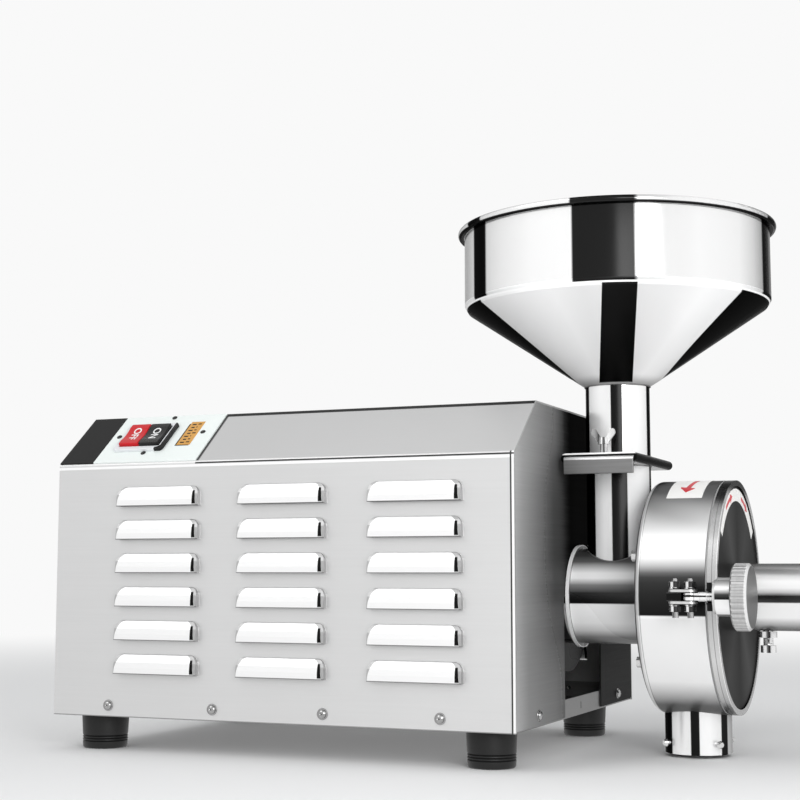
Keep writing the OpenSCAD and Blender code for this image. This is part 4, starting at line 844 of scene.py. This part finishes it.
def end_tree(m, ins, geometry, smooth=False):
    """Makes the copies real, gives them their material and ends the tree."""
    real = m.add("GeometryNodeRealizeInstances", None, {0: geometry})
    if smooth:
        real = m.add("GeometryNodeSetShadeSmooth", None, {0: real})
    painted = m.add("GeometryNodeSetMaterial", None, {"Geometry": real, "Material": ins.other("Material")})
    m.add("NodeGroupOutput", None, {0: painted})
    return m.tree


def grow(name, data, tree, **values):
    """Runs a Geometry Nodes tree on data and gives back the plain mesh."""
    seed = put(name + "_seed", data)
    modifier = seed.modifiers.new("grow", "NODES")
    modifier.node_group = tree
    for item in tree.interface.items_tree:
        if item.item_type == "SOCKET" and item.in_out == "INPUT" and item.name in values:
            modifier[item.identifier] = values[item.name]
    return plain_mesh(name, seed)


@cache
def repeat_tree():
    """Puts one shape at every point, turned by the point's own turn."""
    m, ins = geometry_tree("repeat_shape", Shape="Object", Size=1.0, Material="Material")
    shape = m.add("GeometryNodeObjectInfo", {"transform_space": "ORIGINAL"}, {"Object": ins.other("Shape")},
                  out="Geometry")
    turn = m.add("GeometryNodeInputNamedAttribute", {"data_type": "FLOAT_VECTOR"}, {"Name": "turn"},
                 out="Attribute")
    many = m.add("GeometryNodeInstanceOnPoints", None, {
        "Points": m.add("GeometryNodeMeshToPoints", None, {"Mesh": ins}), "Instance": shape,
        "Rotation": m.add("FunctionNodeEulerToRotation", None, {0: turn}), "Scale": ins.other("Size")})
    return end_tree(m, ins, many)


@cache
def thread_tree():
    """A helical ridge round Z with a V profile."""
    m, ins = geometry_tree("thread_ridge", Radius=0.004, Length=0.01, Pitch=0.00125, Depth=0.0006,
                           Material="Material")
    radius, length, pitch, depth = (ins.other(k) for k in ("Radius", "Length", "Pitch", "Depth"))
    helix = m.add("GeometryNodeCurveSpiral", None, {
        "Resolution": 28, "Rotations": length / pitch, "Start Radius": radius, "End Radius": radius,
        "Height": length})
    profile = m.add("GeometryNodeCurvePrimitiveCircle", None, {"Resolution": 3, "Radius": depth})
    return end_tree(m, ins, m.add("GeometryNodeCurveToMesh", None, {
        "Curve": helix, "Profile Curve": profile, "Fill Caps": True}))


@cache
def seam_tree():
    """A welded seam: overlapping flat beads laid along a path, each a little different."""
    m, ins = geometry_tree("seam_beads", Radius=0.0008, Spacing=0.0012, Seed=7, Material="Material")
    run = m.add("GeometryNodeResampleCurve", {"mode": "LENGTH"},
                {"Curve": ins, "Length": ins.other("Spacing")})
    points = m.add("GeometryNodeCurveToPoints", {"mode": "EVALUATED"}, {"Curve": run})
    bead = m.add("GeometryNodeMeshIcoSphere", None, {"Radius": ins.other("Radius"), "Subdivisions": 2})
    size = m.add("FunctionNodeRandomValue", {"data_type": "FLOAT"},
                 {2: 0.88, 3: 1.08, "Seed": ins.other("Seed")}, out=1)
    return end_tree(m, ins, m.add("GeometryNodeInstanceOnPoints", None, {
        "Points": points, "Instance": bead, "Rotation": points.other("Rotation"), "Scale": size}), smooth=True)


def repeated(name, shape, places, body, material):
    """A shape repeated at the given frames, as one piece of fasteners."""
    shape.materials.clear()
    template = put(name + "_shape", shape)
    points = bpy.data.meshes.new(name + "_points")
    points.from_pydata([p.translation for p in places], [], [])
    turns = points.attributes.new("turn", "FLOAT_VECTOR", "POINT")
    for item, p in zip(turns.data, places):
        item.vector = p.to_euler("XYZ")
    mesh = grow(name, points, repeat_tree(), Shape=template, Size=1.0, Material=material)
    bpy.data.objects.remove(template)
    return piece(name, mesh, body)


def threaded(name, place, radius, length, body):
    """A thread's ridge along the Z of place."""
    mesh = grow(name, bpy.data.meshes.new(name + "_start"), thread_tree(), Radius=radius, Length=length,
                Pitch=0.00125, Depth=0.00035, Material=bpy.data.materials["plated_steel"])
    mesh.transform(place)
    piece(name, mesh, body)


def seamed(name, points, material, radius):
    """A welded seam along a closed path."""
    curve = bpy.data.curves.new(name + "_path", "CURVE")
    curve.dimensions = "3D"
    spline = curve.splines.new("POLY")
    spline.points.add(len(points) - 1)
    for p, co in zip(spline.points, points):
        p.co = (*co, 1.0)
    spline.use_cyclic_u = True
    mesh = grow(name, curve, seam_tree(), Radius=radius, Spacing=radius * 1.25, Material=material)
    piece(name, mesh, "mill")


# ---------------------------------------------------------------- settings

class MillFinishSettings(bpy.types.PropertyGroup):
    """Colours and marks of the mill."""

    # The louvres' near-white grey is a painted highlight on the cabinet's own sheet
    louvre_highlight: FloatProperty(
        name="Louvre tone", description="Display grey of the louvres", default=243.0, min=150.0, max=255.0)
    key_colour: FloatVectorProperty(
        name="Off key", description="Colour of the off key", subtype="COLOR", size=3,
        default=(0.56, 0.008, 0.014), min=0.0, max=1.0)
    mark_colour: FloatVectorProperty(
        name="Arrows", description="Colour of the arrows on both labels", subtype="COLOR", size=3,
        default=(0.6, 0.015, 0.03), min=0.0, max=1.0)
    label_w: FloatProperty(
        name="Label width", description="Width of the drum's label along the shaft", default=0.0296,
        min=0.02, max=0.045, unit="LENGTH")
    arc_span: FloatProperty(
        name="Arc label", description="Half the angle that the cover's label spans",
        default=math.radians(52), min=math.radians(20), max=math.radians(80), subtype="ANGLE")
    arc_w: FloatProperty(
        name="Arc width", description="Width of the cover's label", default=0.0105, min=0.004, max=0.014,
        unit="LENGTH")


class MillStudioSettings(bpy.types.PropertyGroup):
    """Floor, light and camera."""

    floor_tone: FloatProperty(
        name="Floor tone", description="Display grey of the floor", default=238.0, min=120.0, max=250.0)
    back_tone: FloatProperty(
        name="Backdrop tone", description="Display grey of the backdrop", default=249.0, min=120.0, max=254.0)
    key_power: FloatProperty(
        name="Key light", description="Power of the large soft light", default=14.0, min=0.0, max=200.0,
        unit="POWER")
    fill_power: FloatProperty(
        name="Fill light", description="Power of the soft light beside the drum", default=6.0, min=0.0,
        max=50.0, unit="POWER")
    lens: FloatProperty(
        name="Lens", description="Focal length for a 36 mm sensor", default=69.12, min=20.0, max=200.0)
    floor_steps: IntProperty(
        name="Floor steps", description="Sides of the round floor", default=96, min=24, max=256)

# ---------------------------------------------------------------- operators

class MILL_OT_finishes(bpy.types.Operator):
    """Give every solid its finish"""

    bl_idname = "mill.finishes"
    bl_label = "Finishes"

    def execute(self, context):
        for material, names in make_finishes(context.scene.mill_finish).items():
            for name in names.split():
                data = NODES[name].data
                data.materials.clear()
                data.materials.append(material)
        bare = [n for n, o in NODES.items() if not o.data.materials]
        if bare:
            raise RuntimeError(f"no finish for {bare}")
        return {"FINISHED"}


class MILL_OT_edges(bpy.types.Operator):
    """Round the edges of the gate, the switch, the latch's plates and the lugs"""

    bl_idname = "mill.edges"
    bl_label = "Soft edges"

    def execute(self, context):
        for node, body, slot, width in (
            ("gate_plate", "gate", "brushed_plate", 0.0004),
            ("switch_bezel", "mill", "black_gloss", 0.0008),
            ("on_key", "on_button", "black_gloss", 0.0007),
            ("off_key", "off_button", "red_key", 0.0007),
            ("latch_plates", "mill", "fasteners", 0.0003),
            ("cover_lugs", "cover", "brushed_plate", 0.0005),
            ("chamber_lugs", "mill", "fasteners", 0.0005),
            ("gate_screw", "gate_lock", "fasteners", 0.0003),
        ):
            softened(node + "_soft", node, body, NODES[node].data.materials[0], width)
        return {"FINISHED"}


def on_drum(bm, left, right, turn, low, high):
    """Four corners of a film on the drum, at a turn from its top towards the front."""
    return [bm.verts.new((x, -math.sin(turn) * (DRUM_R + up), AXIS_Z + math.cos(turn) * (DRUM_R + up)))
            for x, up in ((left, low), (right, low), (right, high), (left, high))]


def laid_on_drum(bm, rows, x, low, high):
    """A film on the drum from rows of (distance round from the top, left and right of x)."""
    fine = []
    for first, last in zip(rows, rows[1:]):
        n = max(1, int(abs(last[0] - first[0]) / 0.0008))
        fine += [[a + (b - a) * k / n for a, b in zip(first, last)] for k in range(n)]
    film(bm, [on_drum(bm, x + left, x + right, far / DRUM_R, low, high)
              for far, left, right in (*fine, rows[-1])])


class MILL_OT_drum_label(bpy.types.Operator):
    """Put the plain white label with its arrow on top of the drum"""

    bl_idname = "mill.drum_label"
    bl_label = "Drum label"

    def execute(self, context):
        s = context.scene.mill_finish
        x, lift, steps = DRUM_X + 0.0335, 0.00022, 24
        first, last = math.radians(34.0), math.radians(-1.0)
        bm = bmesh.new()
        film(bm, [on_drum(bm, x - s.label_w / 2, x + s.label_w / 2, first + (last - first) * k / steps,
                          0.00005, lift) for k in range(steps + 1)])
        paper = film_of("label_film", grey(246, (1.0, 0.995, 0.985)), 0.32, size=700.0)
        piece("drum_label", to_mesh("drum_label", bm), "mill", paper)
        ink = film_of("arrow_ink", (*s.mark_colour, 1.0), depth=0.000005)
        bm = bmesh.new()
        for rows in (
            [(0.0125, 0.0012, 0.0050), (0.026, 0.0002, 0.0036), (0.0405, -0.0018, 0.0022)],
            [(0.0375, -0.0062, -0.0058), (0.0405, -0.0058, 0.0062), (0.0425, -0.0042, 0.0052),
             (0.0485, -0.0006, 0.0002)],
        ):
            laid_on_drum(bm, rows, x, lift + 0.00004, lift + 0.00016)
        piece("drum_arrow", to_mesh("drum_arrow", bm), "mill", ink)
        return {"FINISHED"}


def arc(bm, start, end, inner, outer, low, high, steps, taper=0.0):
    """A curved film on the cover between two turns from its top, narrowing towards its end."""
    rows = []
    for k in range(steps + 1):
        a = start + (end - start) * k / steps
        pull = taper * k / steps * (outer - inner) / 2
        rows.append([bm.verts.new((x, math.sin(a) * r, AXIS_Z + math.cos(a) * r)) for r, x in (
            (inner + pull, low), (outer - pull, low), (outer - pull, high), (inner + pull, high))])
    film(bm, rows)


class MILL_OT_cover_label(bpy.types.Operator):
    """Put the plain arc label with its arrows on the cover"""

    bl_idname = "mill.cover_label"
    bl_label = "Cover label"

    def execute(self, context):
        s = context.scene.mill_finish
        materials = bpy.data.materials
        bm = bmesh.new()
        arc(bm, -s.arc_span, s.arc_span, LABEL_OUT - s.arc_w, LABEL_OUT, DISC_FRONT + 0.00005,
            DISC_FRONT + 0.0003, 72)
        piece("cover_label", to_mesh("cover_label", bm), "cover", materials["label_film"])
        bm = bmesh.new()
        middle_r, shaft, head = LABEL_OUT - s.arc_w / 2, 0.0016, 0.0040
        ink = DISC_FRONT + 0.00032, DISC_FRONT + 0.00042
        for start, end in ((-0.56, -0.32), (0.24, 0.46)):
            arc(bm, start, end, middle_r - shaft, middle_r + shaft, *ink, 16)
            arc(bm, end - 0.004, end + 0.10, middle_r - head, middle_r + head, *ink, 6, 0.96)
        piece("cover_arrows", to_mesh("cover_arrows", bm), "cover", materials["arrow_ink"])
        return {"FINISHED"}


def legend(name, text, x, body, material):
    """A word laid into a key's dished face, reading down the slope."""
    font = bpy.data.curves.new(name, "FONT")
    font.body, font.size, font.align_x, font.align_y = text, 0.0104, "CENTER", "CENTER"
    font.extrude, font.offset, font.resolution_u = 0.00007, 0.00015, 6
    mesh = plain_mesh(name, put(name + "_seed", font))
    dish_r, lift = 0.045, KEY_TOP - 0.001 + 0.00006
    for v in mesh.vertices:
        depth = lift + v.co.x ** 2 / (2 * dish_r) + v.co.z
        v.co = on_slope(x + v.co.y, SWITCH_UP - v.co.x) @ Vector((0.0, 0.0, depth))
    piece(name, mesh, body, material, smooth=False)


def flat(bm, x0, up0, x1, up1, low, high):
    """A thin rectangle on the switch plate, measured from the amber strip's middle."""
    corners = ((x0, up0), (x1, up0), (x1, up1), (x0, up1))
    place = on_slope(STRIP_X, STRIP_UP)
    bottom, top = ([bm.verts.new(place @ Vector((x, up, z))) for x, up in corners] for z in (low, high))
    bm.faces.new(bottom[::-1])
    bm.faces.new(top)
    for i in range(4):
        j = (i + 1) % 4
        bm.faces.new([bottom[i], bottom[j], top[j], top[i]])


class MILL_OT_switch(bpy.types.Operator):
    """Add the key legends, the amber strip and the plate's screws"""

    bl_idname = "mill.switch"
    bl_label = "Switch fittings"

    def execute(self, context):
        ink = film_of("legend_ink", 240, 0.4, depth=0.000005)
        amber = film_of("amber_film", (0.62, 0.30, 0.035, 1.0), 0.3, 0.3, depth=0.000005)
        dark = cast("blackened_screw", 62, 0.3, 600.0, 0.00003, metallic=1.0)
        for name, text, node, body in (("off_legend", "OFF", "off_key", "off_button"),
                                       ("on_legend", "ON", "on_key", "on_button")):
            legend(name, text, middle(node).x, body, ink)
        bm = bmesh.new()
        flat(bm, -0.0068, -0.0178, 0.0068, 0.0178, 0.00104, 0.00122)
        piece("amber_strip", to_mesh("amber_strip", bm), "mill", amber, smooth=False)
        bm = bmesh.new()
        # A dark film along the amber strip's left and bottom edges is a painted shadow of the strip; the
        # dashes are plain marks
        flat(bm, -0.0080, -0.0188, -0.0068, 0.0150, 0.00104, 0.00118)
        flat(bm, -0.0068, -0.0188, 0.0058, -0.0178, 0.00104, 0.00118)
        for k in range(7):
            up = -0.0150 + k * 0.0046
            flat(bm, -0.0046 + 0.0010 * (k % 2), up, -0.0004, up + 0.0017, 0.00123, 0.00129)
            flat(bm, 0.0012, up + 0.0006, 0.0046 - 0.0012 * (k % 3), up + 0.0021, 0.00123, 0.00129)
        piece("strip_marks", to_mesh("strip_marks", bm), "mill",
              bpy.data.materials["plate_black"], smooth=False)
        places = [on_slope(FACE + x, up, 0.00102)
                  for x, up in ((-0.3848, 0.0405), (-0.3465, 0.0138), (-0.3405, 0.0682), (-0.3000, 0.0436))]
        repeated("plate_screws", screw_shape("plate_screw", 0.0024, 0.0011), places, "mill", dark)
        return {"FINISHED"}


class MILL_OT_latch_nuts(bpy.types.Operator):
    """Put hexagon nuts on washers on both ends of the latch's bolts"""

    bl_idname = "mill.latch_nuts"
    bl_label = "Latch nuts"

    def execute(self, context):
        hole = 0.0024
        bm = bmesh.new()
        lathe(bm, [(hole, 0.0), (0.0054, 0.0), (0.0054, 0.0008), (hole, 0.0008), (hole, 0.0)])
        lathe(bm, [(hole, 0.0010), (0.0043, 0.0010), (0.0049, 0.0014), (0.0049, 0.0052), (0.0041, 0.0057),
                   (hole, 0.0057), (hole, 0.0010)], steps=6)
        places = [at((LATCH.x + x, LATCH.y, LATCH.z + side * EYE_HALF), 0.0 if side > 0 else math.pi)
                  for x in (0.0, BOLT_STEP) for side in (1, -1)]
        steel = brushed("nut_steel", 214, 260.0, EVEN, 0.2, 0.00002, facet_tone)
        repeated("latch_nuts", to_mesh("latch_nut", bm), places, "mill", steel)
        return {"FINISHED"}


def screw_shape(name, radius, height, washer=0.0):
    """A domed head with a cross recess on a washer, its underside at Z = 0."""
    bm = bmesh.new()
    if washer:
        lathe(bm, [(0.0, 0.0), (radius * 1.3, 0.0), (radius * 1.34, washer * 0.4), (radius * 1.3, washer),
                   (0.0, washer)], steps=32)
    arcs = [(math.cos(math.radians(d)), math.sin(math.radians(d))) for d in (18, 36, 54, 68)]
    dome = [(radius * c, washer + height * (0.25 + 0.75 * s)) for c, s in arcs]
    lathe(bm, [(0.0, washer), (radius, washer), (radius, washer + height * 0.25), *dome], steps=32)
    r, rim = dome[-1]
    ring = [bm.verts.new((r * c, r * s, rim)) for c, s in circle(32)]
    centre = bm.verts.new((0.0, 0.0, washer + height * 0.35))
    deep = []
    for c, s in circle(32):
        q = r * (0.35 + 0.6 * abs(c * c - s * s) ** 3)
        deep.append(bm.verts.new((q * c, q * s, rim - height * 0.05)))
    for k in range(32):
        j = (k + 1) % 32
        bm.faces.new([ring[k], ring[j], deep[j], deep[k]])
        bm.faces.new([deep[k], deep[j], centre])
    return to_mesh(name, bm)


class MILL_OT_screws(bpy.types.Operator):
    """Replace the cabinet's screws with domed cross heads on washers"""

    bl_idname = "mill.screws"
    bl_label = "Cabinet screws"

    def execute(self, context):
        steel = brushed("screw_steel", 168, 300.0, EVEN, 0.16, 0.00002, metallic=1.0)
        shape = screw_shape("cabinet_screw", 0.0036, 0.0024, 0.0007)
        z, lift, right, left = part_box("cover_screws")[0].z + 0.0045, 0.00002, 0.063, 0.0562
        step = (CABINET_L - right - left) / 3
        places = [at((FACE - right - i * step, side * (FRONT - lift), z), side * QUARTER)
                  for i in range(4) for side in (1, -1)]
        for y in (FRONT + 0.0565, -FRONT - 0.053):
            places += [at((FACE + lift, y, z), QUARTER, "Y"), at((REAR_END - lift, y, z), -QUARTER, "Y")]
        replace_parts(repeated("cabinet_screws", shape, places, "mill", steel), "cover_screws")
        return {"FINISHED"}


class MILL_OT_feet(bpy.types.Operator):
    """Replace the feet with ribbed rubber feet"""

    bl_idname = "mill.feet"
    bl_label = "Rubber feet"

    def execute(self, context):
        height, r, well, floor, bore = 0.030, 0.021, 0.009, 0.014, 0.0032
        profile = [(well, floor), (well, 0.0008), (well + 0.0006, 0.0), (r - 0.0034, 0.0),
                   (r - 0.0022, 0.0006), (r - 0.0016, 0.002)]
        for rib in range(3):
            z = 0.006 + rib * 0.0022
            profile += [(r - 0.0014, z), (r - 0.0021, z + 0.0006), (r - 0.0013, z + 0.0014)]
        profile += [(r - 0.0004, height - 0.0022), (r - 0.0006, height - 0.0009), (r - 0.0018, height),
                    (bore, height), (bore, floor), (well, floor)]
        low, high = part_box("rubber_feet")
        bm = bmesh.new()
        for x in (low.x + r, high.x - r):
            for y in (low.y + r, high.y - r):
                lathe(bm, profile, Matrix.Translation((x, y, 0.0)), 64)
        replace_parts(piece("foot_rubbers", to_mesh("foot_rubbers", bm), "mill",
                          bpy.data.materials["black_rubber"]), "rubber_feet")
        return {"FINISHED"}


def saddle(centre, radius, across, side=1):
    """Where an upright tube meets a cylinder on the shaft's axis: points of the seam."""
    return [Vector((centre.x + radius * c, radius * s,
                    AXIS_Z + side * math.sqrt(across ** 2 - (radius * s) ** 2))) for c, s in circle(120)]


def level_ring(z, radius):
    """A level circle round the necks."""
    return [Vector((NECK.x + radius * c, radius * s, z)) for c, s in circle(120)]


class MILL_OT_seams(bpy.types.Operator):
    """Lay the welded seams of tubes, drum and hopper"""

    bl_idname = "mill.seams"
    bl_label = "Welded seams"

    def execute(self, context):
        weld = brushed("weld_steel", 130, 900.0, EVEN, 0.3, 0.00004)
        drum_seam = [Vector((DRUM_X - WELD_LIFT, (FEED_R + 0.0003) * c, AXIS_Z + (FEED_R + 0.0003) * s))
                     for c, s in circle(120)]
        for name, path, size in (
            ("neck_seam", saddle(NECK, NECK_R + WELD_LIFT, FEED_R), 0.00075),
            ("spout_seam", saddle(SPOUT, 0.0271, DRUM_R, -1), 0.00075),
            ("drum_seam", drum_seam, 0.0009),
            ("cone_seam", level_ring(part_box("hopper_cone")[0].z + 0.0002, 0.0283), 0.0008),
            ("sleeve_seam_top", level_ring(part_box("hopper_neck")[0].z + WELD_LIFT, 0.0282), 0.0006),
            ("sleeve_seam_low", level_ring(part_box("feed_neck")[1].z - WELD_LIFT, 0.0282), 0.0006),
        ):
            seamed(name, path, weld, size)
        return {"FINISHED"}


class MILL_OT_threads(bpy.types.Operator):
    """Lay the threads on the swing bolt and the lock screw"""

    bl_idname = "mill.threads"
    bl_label = "Threads"

    def execute(self, context):
        _, y, z = middle("swing_bolt")
        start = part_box("swing_bolt")[0].x + 0.0187
        threaded("swing_thread", at((start, y, z), QUARTER, "Y"), 0.00385, 0.0052, "swing")
        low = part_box("lock_screw")[0].z + 0.0065
        threaded("lock_thread", at((middle("lock_screw").x, 0.0, low)), 0.0039, 0.0062, "lock")
        return {"FINISHED"}


def aim(obj, target):
    """Turns an object's -Z towards a point."""
    obj.rotation_mode = "QUATERNION"
    obj.rotation_quaternion = (Vector(target) - obj.location).to_track_quat("-Z", "Y")


def blended(m, kind, amount, first, second):
    """Ends a tree with two shaders mixed by an amount."""
    m.add(kind, None, {"Surface": m.add("ShaderNodeMixShader", None, {0: amount, 1: first, 2: second})})


class MILL_OT_studio(bpy.types.Operator):
    """Set the floor, the soft light, the backdrop and the camera"""

    bl_idname = "mill.studio"
    bl_label = "Studio"

    def execute(self, context):
        scene, s = context.scene, context.scene.mill_studio
        scene.view_settings.view_transform = "Standard"
        camera = put("camera", bpy.data.cameras.new("camera"))
        camera.data.lens, camera.data.sensor_width = s.lens, 36.0
        camera.location = EYE
        flat_run = math.cos(AIM_RISE)
        aim(camera, EYE + Vector((-math.sin(AIM_TURN) * flat_run, math.cos(AIM_TURN) * flat_run,
                                  math.sin(AIM_RISE))))
        scene.camera = camera

        bm = bmesh.new()
        bmesh.ops.create_circle(bm, cap_ends=True, radius=FLOOR_R, segments=s.floor_steps)
        mesh = bpy.data.meshes.new("floor")
        bm.to_mesh(mesh)
        bm.free()
        paint = bpy.data.materials.new("floor_paint")
        paint.use_nodes = True
        m = Maker(paint.node_tree)
        x, y, _ = m.xyz()
        far = m.step(span(x, y), *FLOOR_FADE) | m.add("ShaderNodeLightPath", out="Is Glossy Ray")
        blended(m, "ShaderNodeOutputMaterial", far,
                m.add("ShaderNodeBsdfDiffuse", None, {"Color": grey(s.floor_tone)}),
                m.add("ShaderNodeEmission", None, {"Color": grey(s.back_tone), "Strength": 1.0}))
        mesh.materials.append(paint)
        put("floor", mesh)

        world = scene.world or bpy.data.worlds.new("studio")
        scene.world = world
        world.use_nodes = True
        m = Maker(world.node_tree)
        path = m.add("ShaderNodeLightPath", out="Is Camera Ray")
        seen = path | path.other("Is Glossy Ray") | path.other("Is Transmission Ray")
        blended(m, "ShaderNodeOutputWorld", seen,
                m.add("ShaderNodeBackground", None, {"Color": (0.98, 0.99, 1.0, 1.0), "Strength": 0.68}),
                m.add("ShaderNodeBackground", None, {"Color": grey(s.back_tone), "Strength": 1.0}))

        for name, place, size, power in (
            ("key_light", (-1.3, -1.7, 2.1), 1.6, s.key_power),
            ("fill_light", (0.68, -0.95, 0.42), 0.5, s.fill_power),
            ("back_light", (0.4, 1.9, 2.6), 1.6, s.key_power * 0.25),
        ):
            light = bpy.data.lights.new(name, "AREA")
            light.shape, light.size, light.energy = "SQUARE", size, power
            lamp = put(name, light)
            lamp.location = place
            aim(lamp, (0.05, 0.0, 0.2))
        return {"FINISHED"}


class MILL_PT_panel(bpy.types.Panel):
    """Lists the steps that dress the mill"""

    bl_idname = "MILL_PT_panel"
    bl_label = "Grain Mill"
    bl_space_type = "VIEW_3D"
    bl_region_type = "UI"
    bl_category = "Grain Mill"

    def draw(self, context):
        for settings in (context.scene.mill_finish, context.scene.mill_studio):
            box = self.layout.box()
            for name in settings.bl_rna.properties.keys():
                if name not in ("rna_type", "name"):
                    box.prop(settings, name)
        for step in STEPS:
            self.layout.operator(step.bl_idname)


STEPS = (MILL_OT_studio, MILL_OT_finishes, MILL_OT_edges, MILL_OT_drum_label, MILL_OT_cover_label,
         MILL_OT_switch, MILL_OT_latch_nuts, MILL_OT_screws, MILL_OT_feet, MILL_OT_seams, MILL_OT_threads)
CLASSES = (MillFinishSettings, MillStudioSettings, *STEPS, MILL_PT_panel)


def register():
    for cls in CLASSES:
        bpy.utils.register_class(cls)
    bpy.types.Scene.mill_finish = PointerProperty(type=MillFinishSettings)
    bpy.types.Scene.mill_studio = PointerProperty(type=MillStudioSettings)


def unregister():
    del bpy.types.Scene.mill_studio
    del bpy.types.Scene.mill_finish
    for cls in reversed(CLASSES):
        bpy.utils.unregister_class(cls)


def main():
    """Registers the add-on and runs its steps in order."""
    register()
    bpy.ops.mill.studio()
    bpy.ops.mill.finishes()
    bpy.ops.mill.edges()
    bpy.ops.mill.drum_label()
    bpy.ops.mill.cover_label()
    bpy.ops.mill.switch()
    bpy.ops.mill.latch_nuts()
    bpy.ops.mill.screws()
    bpy.ops.mill.feet()
    bpy.ops.mill.seams()
    bpy.ops.mill.threads()


if __name__ == "__main__":
    main()
